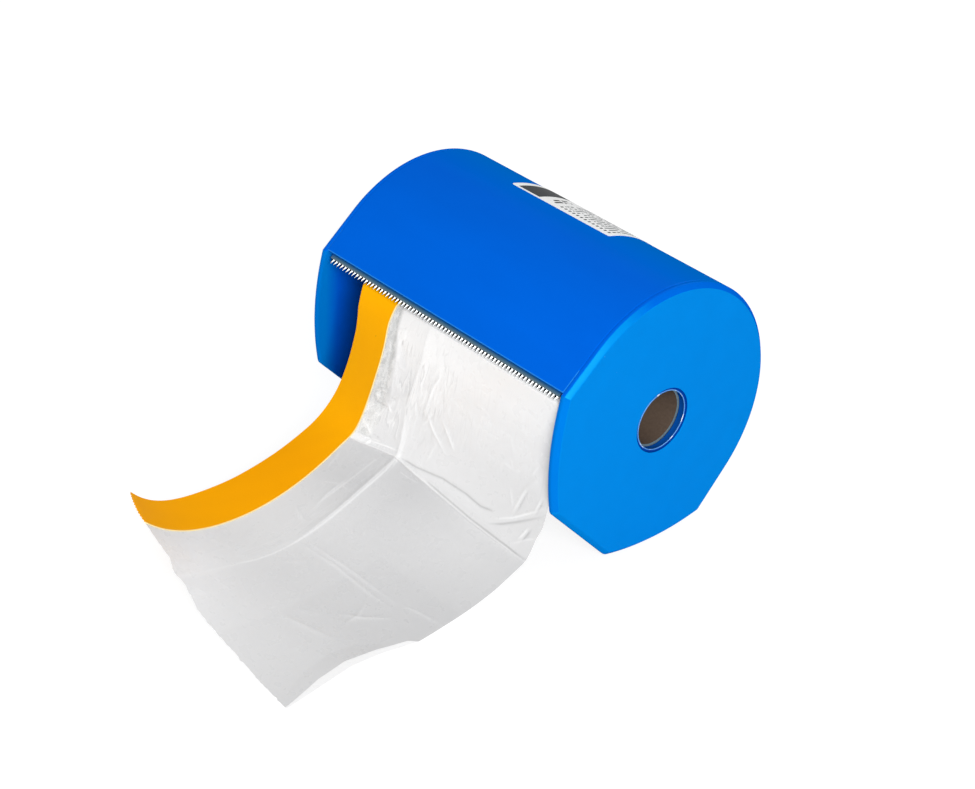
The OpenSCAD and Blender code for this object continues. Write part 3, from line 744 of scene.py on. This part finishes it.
# Crumples beside the tape, and the little triangle pinched up at its foot
folds += [([(-19.1, 0.1), (-19.1, 0.258), (-18.8, 0.391), (-17.7, 0.501), (-17, 0.637),
            (-15.9, 0.757)], -0.3, 1.2),
          ([(-18.8, 0.083), (-15.9, 0.323), (-14.5, 0.52), (-12, 0.75)], 0.25, 0.9),
          ([(-21.3, 0.794), (-18.8, 0.84), (-16.3, 0.889)], 0.4, 0.4),
          ([(-22, 0.90), (-18.5, 0.93), (-15.2, 0.917)], 0.5, 0.4),
          ([(-15.2, 0.917), (-16.6, 0.99)], 0.5, 0.4), ([(-20.6, 0.637), (-14.5, 0.658)], -0.3, 0.4),
          ([(7.6, 0.261), (4.4, 0.394), (3, 0.575)], 0.3, 0.6),
          ([(3.7, 0.551), (8.7, 0.634), (16.6, 0.711)], 0.3, 0.6),
          ([(11.9, 0.538), (17.6, 0.618), (20.5, 0.658)], 0.3, 0.6)]
pinch = [(-20.8, 0.95), (-17.2, 0.953)]
# Fine lines painted white where the film lies, as (points, whiteness): stress whitening and painted highlight
# along the pleat's crest and its neighbours
crest = [(-2.3, 0.99), (-1.9, 1.105), (-2.3, 1.282), (-2.0, 1.4), (-1.4, 1.505), (-0.8, 1.617),
         (-0.7, 1.695), (-1.2, 1.762), (-2.3, 1.812), (-2.5, 1.875), (-2.2, 1.95)]
pressed_lines = [(crest, 0.3), ([(-8.3, 1.075), (-9.9, 1.292), (-10.9, 1.48)], 0.17),
                 ([(-15.9, 1.318), (-11.6, 1.298), (-6.0, 1.302)], 0.14),
                 ([(2.8, 1.045), (7.6, 1.03), (11.1, 1.015)], 0.2)]
# Small creases down the pulled middle, then crumples beside the tape, then faint ones all over
for k in range(90):
    x0, w0 = -15 + 28 * scatter.random() ** 1.3, 0.1 + 0.6 * scatter.random()
    long, lean = 0.05 + 0.13 * scatter.random(), scatter.normal(0, 1.6)
    folds.append(([(x0 + t * lean + scatter.normal(0, 0.4), w0 + t * long) for t in (0, 0.33, 0.67, 1)],
                  scatter.choice((-0.4, 1)) * (0.03 + 0.1 * scatter.random()), 0.35 + 0.3 * scatter.random()))
for k in range(34):
    x0, w0 = -22 + 9 * scatter.random(), 0.06 + 0.88 * scatter.random()
    turn, long = scatter.random() * math.pi, 1.5 + 3.5 * scatter.random()
    folds.append(([(x0, w0), (x0 + long * math.cos(turn), w0 + long * math.sin(turn) / hang)],
                  scatter.choice((-1, 1)) * (0.08 + 0.14 * scatter.random()), 0.35 + 0.3 * scatter.random()))
for k in range(44):
    first, width, start, length, along = (18, 46, 0.08, 0.6, hang) if k < 22 else (-20, 86, 1.08, 0.8, lie)
    x0, w0 = first + width * scatter.random(), start + length * scatter.random()
    turn, long = scatter.normal(2.1, 0.7), 3 + 9 * scatter.random()
    dx, dw = long * math.cos(turn), long * math.sin(turn) / along
    folds.append(([(x0, w0), (x0 + dx / 2 + scatter.normal(0, 0.6), w0 + dw / 2), (x0 + dx, w0 + dw)],
                  0.03 + 0.06 * scatter.random(), 0.5 + 0.4 * scatter.random()))

# Right edges of both layers as (way, station), and (station, mm) that the cut stands past its mean line
free_way, free_x = np.array([(-1, 69.6), (-0.05, 69.6), (0.0, 72.2), (0.5, 72.2), (0.65, 72.2), (0.74, 72.0),
                             (0.84, 70.6), (1.0, 70.5), (1.23, 71.2), (1.39, 70.9), (1.54, 70.5),
                             (1.645, 70.5), (1.665, 67.3), (1.75, 63.6), (1.836, 61.7), (1.91, 64.1),
                             (2.0, 70.1)]).T
under_x = np.interp(free_way, [1.60, 1.65, 1.72, 1.78, 1.855, 1.925, 2.0],
                    [69.8, 70.2, 67.6, 65.6, 65.7, 68.4, 70.9])
cut_x, cut_past = np.array([(-31, -0.9), (-22.4, -0.5), (-15, -1.1), (-9, -1.6), (-3.1, 0.1), (1.9, -0.9),
                            (8.7, -0.1), (13, 0.4), (34, -0.3), (50, -0.2), (70, 0.6)]).T
# Painted shade by way: the film is painted greyer down its hanging part and greyest where it lies, as it faces
# up and gets less light: (way, depth of tone)
tone_way, tone = np.array([(0, 0), (0.2, 0.05), (0.3, 0.2), (0.6, 0.5), (0.97, 0.62), (1.0, 1.0),
                           (1.1, 0.98), (1.45, 0.72), (1.75, 0.64), (1.9, 0.47), (2.1, 0.45)]).T
# The top layer's columns are closest over the pleat: up to these shares of its width, this many
close_from, close_to, tape_columns, close_columns = 0.076, 0.55, 8, 135
# Widest fold that leaves a white or dark line
line_width = 1.5


def film_layer(ways, across, x_left, x_right, lift_off):
    """One layer of film as rows by ways: its points, its flat places and what its looks depend on. Those are
    its depth of tone, which is painted shade, the shares of single layer and of crumpled strip, the whitening
    of creases, which is stress whitening and a painted highlight and is below 0 where they are painted dark as
    painted shade, and the fine wrinkles."""
    span = np.linspace(0, 1, across)
    if x_left < tape_right:
        span = np.concatenate((np.linspace(0, close_from, tape_columns + 1)[:-1],
                               np.linspace(close_from, close_to, close_columns + 1)[:-1],
                               np.linspace(close_to, 1, across - tape_columns - close_columns)))
    grid_x = x_left + span[None] * (np.interp(ways, free_way, x_right)[:, None] - x_left)
    # The cut is ragged, by a draw at every third column
    past = np.interp(grid_x[-1], cut_x, cut_past)
    ragged = scatter.normal(0, 0.12, (across + 5) // 3)
    past += np.interp(np.arange(across), np.arange(0, across + 3, 3), ragged)
    grid_w = ways[:, None] + np.clip((ways[:, None] - 1.5) / 0.5, 0, 1) * past[None] / lie
    x, way = grid_x.ravel(), grid_w.ravel()
    base = web_points(x, way).reshape(len(ways), across, 3)
    normal = np.cross(np.gradient(base, axis=0), np.gradient(base, axis=1))
    normal /= np.linalg.norm(normal, axis=2)[..., None]
    run = run_of(way)
    height, white, dark = np.zeros((3, len(x)))
    for line, tall, wide in folds:
        d, share = near(x, run, line)
        taper = 6 if len(line) > 4 else 2.5
        fade = np.clip(taper * np.minimum(share + 0.08, 1.08 - share), 0, 1)
        height += tall * np.exp(-np.sqrt(d * d + 0.02) / wide) * fade
        # Narrow folds are painted: a white line on a ridge, stress whitening and painted highlight, and a dark
        # line in a groove, painted shade
        if wide < line_width:
            mark = min(0.5, abs(tall) * np.interp(wide, [0.35, 0.6, 0.9], [3.0, 1.3, 0.4]))
            mark = mark * np.exp(-((d / np.where(way < 1, 0.4, 0.5)) ** 2)) * fade
            mark *= np.interp(way, [1.0, 1.06, 1.5], [1.0, 0.6, 0.35])
            if tall < 0:
                dark = np.maximum(dark, mark)
            else:
                white = np.maximum(white, mark)
    for line, whiteness in pressed_lines:
        d, share = near(x, run, line)
        white = np.maximum(white, whiteness * np.exp(-((d / 0.35) ** 2)) * np.clip(4 * (1 - share), 0, 1))
    # The film is still smooth at the teeth and under the tape
    free = np.clip((way - 0.02) / 0.12, 0, 1) * np.clip((x - tape_right) / 3, 0, 1)
    height, white, dark, free = (part.reshape(grid_x.shape) for part in (height, white, dark, free))
    points = base + (height * free + lift_off)[..., None] * normal
    points[..., 2] = np.maximum(points[..., 2], counter_z + film_clear + lift_off)
    pleat, pleat_end = (np.interp(grid_w, *np.array(line).T[::-1]) for line in (left_pleat, right_pleat))
    strip = np.interp(grid_w, [0.0, 0.16, 0.43, 0.62, 0.86, 0.97], [-18.8, -18.1, -16.3, -15.2, -15.9, -17.5])
    strip = np.clip((strip - grid_x) / 1.6 + 0.5, 0, 1) * np.clip((0.985 - grid_w) / 0.02, 0, 1)
    pinched = np.clip((3.2 - near(x, run, pinch)[0].reshape(grid_x.shape)) / 0.8, 0, 1)
    single = np.clip((pleat - grid_x) / 0.8 + 0.5, 0, 1)
    # Left of the pleat there is one layer, with a tone of its own; the right of the lying part is painted
    # paler, as painted light against the shade it gets from the cap and the fold
    depth = np.interp(grid_w, tone_way, tone)
    depth += single * np.interp(grid_w, [0.95, 0.97, 1.1, 1.25, 1.6], [0.06, 0.0, 0.0, 0.14, -0.1])
    paler = np.interp(grid_w, [0.98, 1.0, 1.15, 1.45], [0.0, 1.0, 0.8, 0.0])
    depth -= 0.35 * np.clip((grid_x - 10) / 32, 0, 1) * paler
    # Between the pleat's lines the film is painted a little whiter: a painted highlight on the pleat
    pressed = np.clip(np.minimum(grid_x - pleat, pleat_end - grid_x) / 0.5 + 0.3, 0, 1)
    pressed = pressed * np.clip((grid_w - 0.45) / 0.3, 0, 1)
    white = np.maximum(white, pressed * np.interp(grid_w, [0.95, 1.05, 1.2], [0.16, 0.08, 0.0]))
    white = np.maximum((white - 0.9 * dark) * free, pinched - 0.75)
    fine = np.interp(grid_x, [-23, -17, -12, 8, 18, 45], [0.2, 0.5, 1.0, 1.0, 0.35, 0.15])
    fine *= np.interp(grid_w, [0.06, 0.2, 0.35, 0.7, 0.9, 1.0], [0.1, 0.8, 1.0, 1.0, 0.5, 0.2])
    fine *= np.where(grid_x > pleat, np.interp(grid_w, [0.5, 0.7], [1.0, 0.15]), 1.0)
    flat = np.stack((grid_x, run.reshape(grid_x.shape)), axis=2) / 100
    return points, flat, np.stack((depth, single, strip * (1 - pinched), white, fine), axis=2)


def grid_faces(rows, across, first):
    """Quads of a skin with its outer side toward the front and up."""
    return [(a, a + across, a + across + 1, a + 1)
            for r in range(rows - 1) for a in range(first + r * across, first + (r + 1) * across - 1)]


film_left, film_thick = -30.5, 0.12
under_left, under_drop = 25.0, -0.1
columns, under_columns = 236, 60
ways = np.concatenate((np.linspace(-1, 0, 10)[:-1], np.linspace(0, 1, 172)[:-1], np.linspace(1, 2, 190)))
under_ways = np.linspace(1.45, 2.0, 60)
top_layer = film_layer(ways, columns, film_left, free_x, 0.0)
under_layer = film_layer(under_ways, under_columns, under_left, under_x, under_drop)
points, flat, looks = (np.vstack([part.reshape(-1, part.shape[2]) for part in parts])
                       for parts in zip(top_layer, under_layer))
top_points = len(ways) * columns
# The under layer looks the same all over: painted pale and nearly white, mostly single and a little wrinkled
looks[top_points:] = 0.0, 0.6, 0.0, 0.9, 0.3

# Blown polyethylene, a milky sheet with a soft gloss: painted greyer with depth of tone as painted shade,
# painted white along its creases as stress whitening and painted highlight
milky, tree, shader = fresh_material("milky_polyethylene_film")
where = add(tree, "ShaderNodeTexCoord").outputs["Object"]
layers_seen = add(tree, "ShaderNodeAttribute", attribute_name="layers")
depth, single, crumpled = add(tree, "ShaderNodeSeparateColor", {0: layers_seen.outputs["Color"]}).outputs
# The depth of tone mixes in grey: painted shade
milk = add(tree, "ShaderNodeMix", {"Factor": depth, 6: "#f2f2f2", 7: "#bdbdbe"}, data_type="RGBA")
# Beside the tape the film is painted greyer, in facets 1 to 4 mm wide each given its own grey: painted shade
# for crumpled facets tilted to the light
flat_place = add(tree, "ShaderNodeUVMap", uv_map="flat")
wobble = add(tree, "ShaderNodeTexNoise", {"Vector": flat_place, "Scale": 110.0}, noise_dimensions="2D")
shaken = add(tree, "ShaderNodeVectorMath", {0: wobble.outputs["Color"], 1: (0.02, 0.02, 0), 2: flat_place},
             operation="MULTIPLY_ADD")
facet_place = add(tree, "ShaderNodeMapping", {"Vector": shaken, "Scale": (70, 28, 1)})
facets = add(tree, "ShaderNodeTexVoronoi", {"Vector": facet_place, "Scale": 1.0, "Smoothness": 0.6},
             voronoi_dimensions="2D", feature="SMOOTH_F1")
shade = add(tree, "ShaderNodeSeparateColor", {0: facets.outputs["Color"]})
grey = add(tree, "ShaderNodeMix", {"Factor": shade, 6: "#dededd", 7: "#bebfbe"}, data_type="RGBA")
lined = add(tree, "ShaderNodeMix", {"Factor": crumpled, 6: milk, 7: grey}, data_type="RGBA")
bright = layers_seen.outputs["Alpha"]
# Where the whitening is below 0 the film is painted grey: painted shade in its grooves
groove_share = add(tree, "ShaderNodeMapRange", {"Value": bright, 1: 0.0, 2: -1.0})
lined = add(tree, "ShaderNodeMix", {"Factor": groove_share, 6: lined, 7: "#808080"}, data_type="RGBA")
# Fine wrinkles in patches of 9 mm, painted as light lines beside darker ones, painted highlight and painted
# shade: long ones 2 mm apart, and short ones of all ways beside the tape
fine = add(tree, "ShaderNodeAttribute", attribute_name="wrinkles").outputs["Fac"]
patch = add(tree, "ShaderNodeTexNoise", {"Vector": flat_place, "Scale": 11.0, "Detail": 1.0},
            noise_dimensions="2D")
patchy = add(tree, "ShaderNodeMapRange", {"Value": patch, 1: 0.4, 2: 0.58, 3: 0.15, 4: 1.0})
long_ones = add(tree, "ShaderNodeMath", {0: patchy, 1: fine}, operation="MULTIPLY")
for stretch, amount, whiteness in (((44, 6, 1), long_ones, 0.3), ((75, 45, 1), crumpled, 0.22)):
    drawn = add(tree, "ShaderNodeMapping", {"Vector": flat_place, "Scale": stretch})
    pull = add(tree, "ShaderNodeTexNoise", {"Vector": drawn, "Scale": 1.0, "Detail": 1.0, "Distortion": 0.2},
               noise_dimensions="2D")
    lines = []
    for level, strength in ((0.5, whiteness), (0.41, 0.42)):
        past = add(tree, "ShaderNodeMath", {0: pull, 1: level}, operation="SUBTRACT")
        apart = add(tree, "ShaderNodeMath", {0: past}, operation="ABSOLUTE")
        line = add(tree, "ShaderNodeMapRange", {"Value": apart, 1: 0.0, 2: 0.07, 3: strength, 4: 0.0})
        lines.append(add(tree, "ShaderNodeMath", {0: line, 1: amount}, operation="MULTIPLY"))
    bright = add(tree, "ShaderNodeMath", {0: lines[0], 1: bright}, operation="MAXIMUM")
    lined = add(tree, "ShaderNodeMix", {"Factor": lines[1], 6: lined, 7: "#b0b0b0"}, data_type="RGBA")
white = add(tree, "ShaderNodeMix", {"Factor": bright, 6: lined, 7: "#ffffff"}, data_type="RGBA")
# Clouds of 3 to 8 mm in the gloss
cloud = add(tree, "ShaderNodeTexNoise", {"Vector": where, "Scale": 190.0, "Detail": 2.0})
gloss = add(tree, "ShaderNodeMapRange", {"Value": cloud, 1: 0.3, 2: 0.7, 3: 0.24, 4: 0.36})
# Two layers and more hide what is behind them, one lets a little through
solid = add(tree, "ShaderNodeMapRange", {"Value": single, 3: 0.98, 4: 0.94})
# Fine crinkles about 1.5 mm across
crinkle = add(tree, "ShaderNodeTexNoise", {"Vector": where, "Scale": 650.0, "Detail": 1.0})
relief = add(tree, "ShaderNodeMath", {0: bright, 1: 4.0, 2: crinkle}, operation="MULTIPLY_ADD")
bump = add(tree, "ShaderNodeBump", {"Height": relief, "Strength": 0.02, "Distance": 0.0008})
wire(shader, {"Base Color": white, "Roughness": gloss, "Alpha": solid, "Normal": bump, "IOR": 1.51})
faces = grid_faces(len(ways), columns, 0) + grid_faces(len(under_ways), under_columns, top_points)
film_web = piece("film_sheet", points, faces, milky, crease=80, outward=False)
sheet = film_web.data
looks = looks.astype(np.float32)
sheet.color_attributes.new("layers", "FLOAT_COLOR", "POINT").data.foreach_set("color", looks[:, :4].ravel())
sheet.attributes.new("wrinkles", "FLOAT", "POINT").data.foreach_set("value", looks[:, 4].ravel())
corners = np.empty(len(sheet.loops), dtype=np.int32)
sheet.loops.foreach_get("vertex_index", corners)
sheet.uv_layers.new(name="flat").data.foreach_set("uv", flat[corners].astype(np.float32).ravel())
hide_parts("film_web")
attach(film_web, "housing")


# Pulled-out tape: smooth orange masking paper, stuck on the film's left margin and torn off by the teeth.
# Its end curls up, and its right edge shows a pale line of bare paper.
tape_thick, tape_gap = 0.26, 0.05
across = 45
ways = np.concatenate((np.linspace(-1, 0, 14)[:-1], np.linspace(0, 1, 70)[:-1], np.linspace(1, 2, 110)))
span = np.concatenate(([0.0, 0.012], np.linspace(0.03, 0.97, across - 4), [0.988, 1.0]))
grid_x = np.tile(web_left + span * (tape_right - web_left), (len(ways), 1))
# The torn end follows the teeth, and stands out in the middle
nibble = 0.35 * (1 - 2 * np.abs(grid_x[0] / tooth_pitch % 1 - 0.5) * 2) + 4.0 * span * (1 - span)
grid_w = ways[:, None] + np.clip((ways[:, None] - 1.9) / 0.1, 0, 1) * nibble[None] / lie
base = web_points(grid_x.ravel(), grid_w.ravel()).reshape(len(ways), across, 3)
normal = np.cross(np.gradient(base, axis=0), np.gradient(base, axis=1))
normal /= np.linalg.norm(normal, axis=2)[..., None]
wave = 0.04 * np.sin(grid_w * 23 + grid_x * 0.21) * np.sin(grid_x * 0.33 + 1.1) * np.clip(grid_w, 0, 1)
middle = base + (wave + film_thick / 2 + tape_gap + tape_thick / 2)[..., None] * normal
points = np.vstack([(middle + side * tape_thick / 2 * normal).reshape(-1, 3) for side in (1, -1)])


def sheet_faces(rows, across):
    """Faces of a sheet with an upper and an under skin of rows by across points, closed round its rim."""
    half = rows * across
    faces = grid_faces(rows, across, 0)
    faces += [tuple(half + k for k in reversed(face)) for face in faces]
    rim = list(range(across)) + [r * across - 1 for r in range(2, rows + 1)]
    rim += [half - k for k in range(2, across + 1)] + [r * across for r in range(rows - 2, 0, -1)]
    return faces + [(a, b, b + half, a + half) for a, b in zip(rim, rim[1:] + rim[:1])]


# Flat crepe-free paper with a dull orange coat, which shows its fibres only faintly
paper, tree, shader = fresh_material("smooth_masking_paper")
where = add(tree, "ShaderNodeTexCoord").outputs["Object"]
# Clouds of 17 mm in the coat
cloud = add(tree, "ShaderNodeTexNoise", {"Vector": where, "Scale": 60.0, "Detail": 3.0})
tone = add(tree, "ShaderNodeMix", {"Factor": cloud, 6: "#fcac00", 7: "#ffb500"}, data_type="RGBA")
# It is painted deeper in colour where it lies and paler again at its curled end: painted shade and painted
# light
forward = add(tree, "ShaderNodeSeparateXYZ", {0: where}).outputs["Y"]
for start, stop, colour in ((-0.076, -0.100, "#f5a400"), (-0.115, -0.165, "#ffad00")):
    part = add(tree, "ShaderNodeMapRange", {"Value": forward, 1: start, 2: stop})
    tone = add(tree, "ShaderNodeMix", {"Factor": part, 6: tone, 7: colour}, data_type="RGBA")
# A few specks 0.6 mm across
spots = add(tree, "ShaderNodeTexVoronoi", {"Vector": where, "Scale": 55.0, "Randomness": 1.0})
speck = add(tree, "ShaderNodeMapRange", {"Value": spots, 1: 0.012, 2: 0.024, 3: 0.5, 4: 0.0})
marked = add(tree, "ShaderNodeMix", {"Factor": speck, 6: tone, 7: "#8a5a00"}, data_type="RGBA")
# Pale border 0.45 mm wide at the right edge
station = add(tree, "ShaderNodeAttribute", attribute_name="station").outputs["Fac"]
border = add(tree, "ShaderNodeMapRange", {"Value": station, 1: tape_right - 0.55, 2: tape_right - 0.35})
edged = add(tree, "ShaderNodeMix", {"Factor": border, 6: marked, 7: "#ffe9a8"}, data_type="RGBA")
# Paper fibres about 0.7 mm long
fibre = add(tree, "ShaderNodeTexNoise", {"Vector": where, "Scale": 1400.0, "Detail": 4.0})
bump = add(tree, "ShaderNodeBump", {"Height": fibre, "Strength": 0.08, "Distance": 0.0003})
wire(shader, {"Base Color": edged, "Roughness": 0.65, "Specular IOR Level": 0.04, "Normal": bump})
tape_strip = piece("tape_sheet", points, sheet_faces(len(ways), across), paper, crease=60)
flat_stations = np.tile(grid_x.ravel(), 2).astype(np.float32)
tape_strip.data.attributes.new("station", "FLOAT", "POINT").data.foreach_set("value", flat_stations)
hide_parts("tape_strip")
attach(tape_strip, "housing")


# Label: a white paper sticker on the upper back of the cover, with rounded corners.
# Its print is a dark block and rows of grey rules, which stand for nothing in particular.
label_length, label_arc, label_front, label_middle, label_thick = 59.0, 48.0, 78.5, -3.5, 0.15
label_round, long_steps, round_steps = 0.8, 60, 60
radius = cap_radius + seat_gap
high_arc = math.radians(label_arc) * radius
points, flat = [], []
for depth in (label_thick, 0.0):
    for j in range(round_steps + 1):
        v = j / round_steps * high_arc
        corner = max(0.0, label_round - min(v, high_arc - v))
        trim = label_round - math.sqrt(max(0.0, label_round**2 - corner**2))
        a = math.radians(label_front) - v / radius
        y, z = (radius + depth) * math.cos(a), (radius + depth) * math.sin(a)
        for k in range(long_steps + 1):
            u = trim + k / long_steps * (label_length - 2 * trim)
            points.append((label_middle - label_length / 2 + u, y, z))
            flat.append((u / 100, v / 100))

# Coated paper, smooth and dull; its map is 1 for each 100 mm
sticker, tree, shader = fresh_material("coated_label_paper")
print_place = add(tree, "ShaderNodeUVMap", uv_map="print")
long_way, high_way = add(tree, "ShaderNodeSeparateXYZ", {0: print_place}).outputs[:2]


def print_area(*limits):
    """1 where each value lies between its two limits, else 0."""
    area = 1.0
    for value, low, high in limits:
        inside = add(tree, "ShaderNodeMath", {0: value, 1: (low + high) / 2, 2: (high - low) / 2},
                     operation="COMPARE")
        area = add(tree, "ShaderNodeMath", {0: area, 1: inside}, operation="MULTIPLY")
    return area


# Rules 0.9 mm wide, 2.35 mm apart, broken into dashes of 1 to 4 mm, each behind a dark bullet
rule = add(tree, "ShaderNodeMath", {0: long_way, 1: 100 / 2.35}, operation="MULTIPLY")
row = add(tree, "ShaderNodeMath", {0: rule}, operation="FLOOR")
part = add(tree, "ShaderNodeMath", {0: rule}, operation="FRACT")
spread = add(tree, "ShaderNodeMath", {0: row, 1: 7.31}, operation="MULTIPLY")
stretched = add(tree, "ShaderNodeMath", {0: high_way, 1: 70.0}, operation="MULTIPLY")
dash_at = add(tree, "ShaderNodeCombineXYZ", {0: stretched, 1: spread})
dash = add(tree, "ShaderNodeTexNoise", {"Vector": dash_at, "Scale": 1.0, "Detail": 0.0},
           noise_dimensions="2D")
top = high_arc / 100
rules = print_area((long_way, 0.258, 0.564), (high_way, 0.054, top - 0.04), (part, 0.6, 1), (dash, 0.38, 1))
bullets = print_area((long_way, 0.258, 0.564), (high_way, 0.026, 0.043), (part, 0.56, 1))
heading = print_area((long_way, 0.188, 0.236), (high_way, 0.036, 0.15), (part, 0.42, 1), (dash, 0.36, 1))
block = print_area((long_way, 0.032, 0.16), (high_way, 0.012, top - 0.015))
marks = add(tree, "ShaderNodeMath", {0: bullets, 1: heading}, operation="MAXIMUM")
# Paper fibres about 1 mm long
where = add(tree, "ShaderNodeTexCoord").outputs["Object"]
fibre = add(tree, "ShaderNodeTexNoise", {"Vector": where, "Scale": 900.0, "Detail": 3.0})
printed = add(tree, "ShaderNodeMix", {"Factor": fibre, 6: "#f4f6f6", 7: "#ffffff"}, data_type="RGBA")
for area, ink in ((rules, "#565b5e"), (marks, "#1f2325"), (block, "#33373a")):
    printed = add(tree, "ShaderNodeMix", {"Factor": area, 6: printed, 7: ink}, data_type="RGBA")
bump = add(tree, "ShaderNodeBump", {"Height": fibre, "Strength": 0.05, "Distance": 0.0002})
wire(shader, {"Base Color": printed, "Roughness": 0.5, "Specular IOR Level": 0.15, "Normal": bump})
label = piece("label_sticker", points, sheet_faces(round_steps + 1, long_steps + 1), sticker)
chart = label.data.uv_layers.new(name="print")
for loop in label.data.loops:
    chart.data[loop.index].uv = flat[loop.vertex_index]
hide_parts("label")
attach(label, "housing")
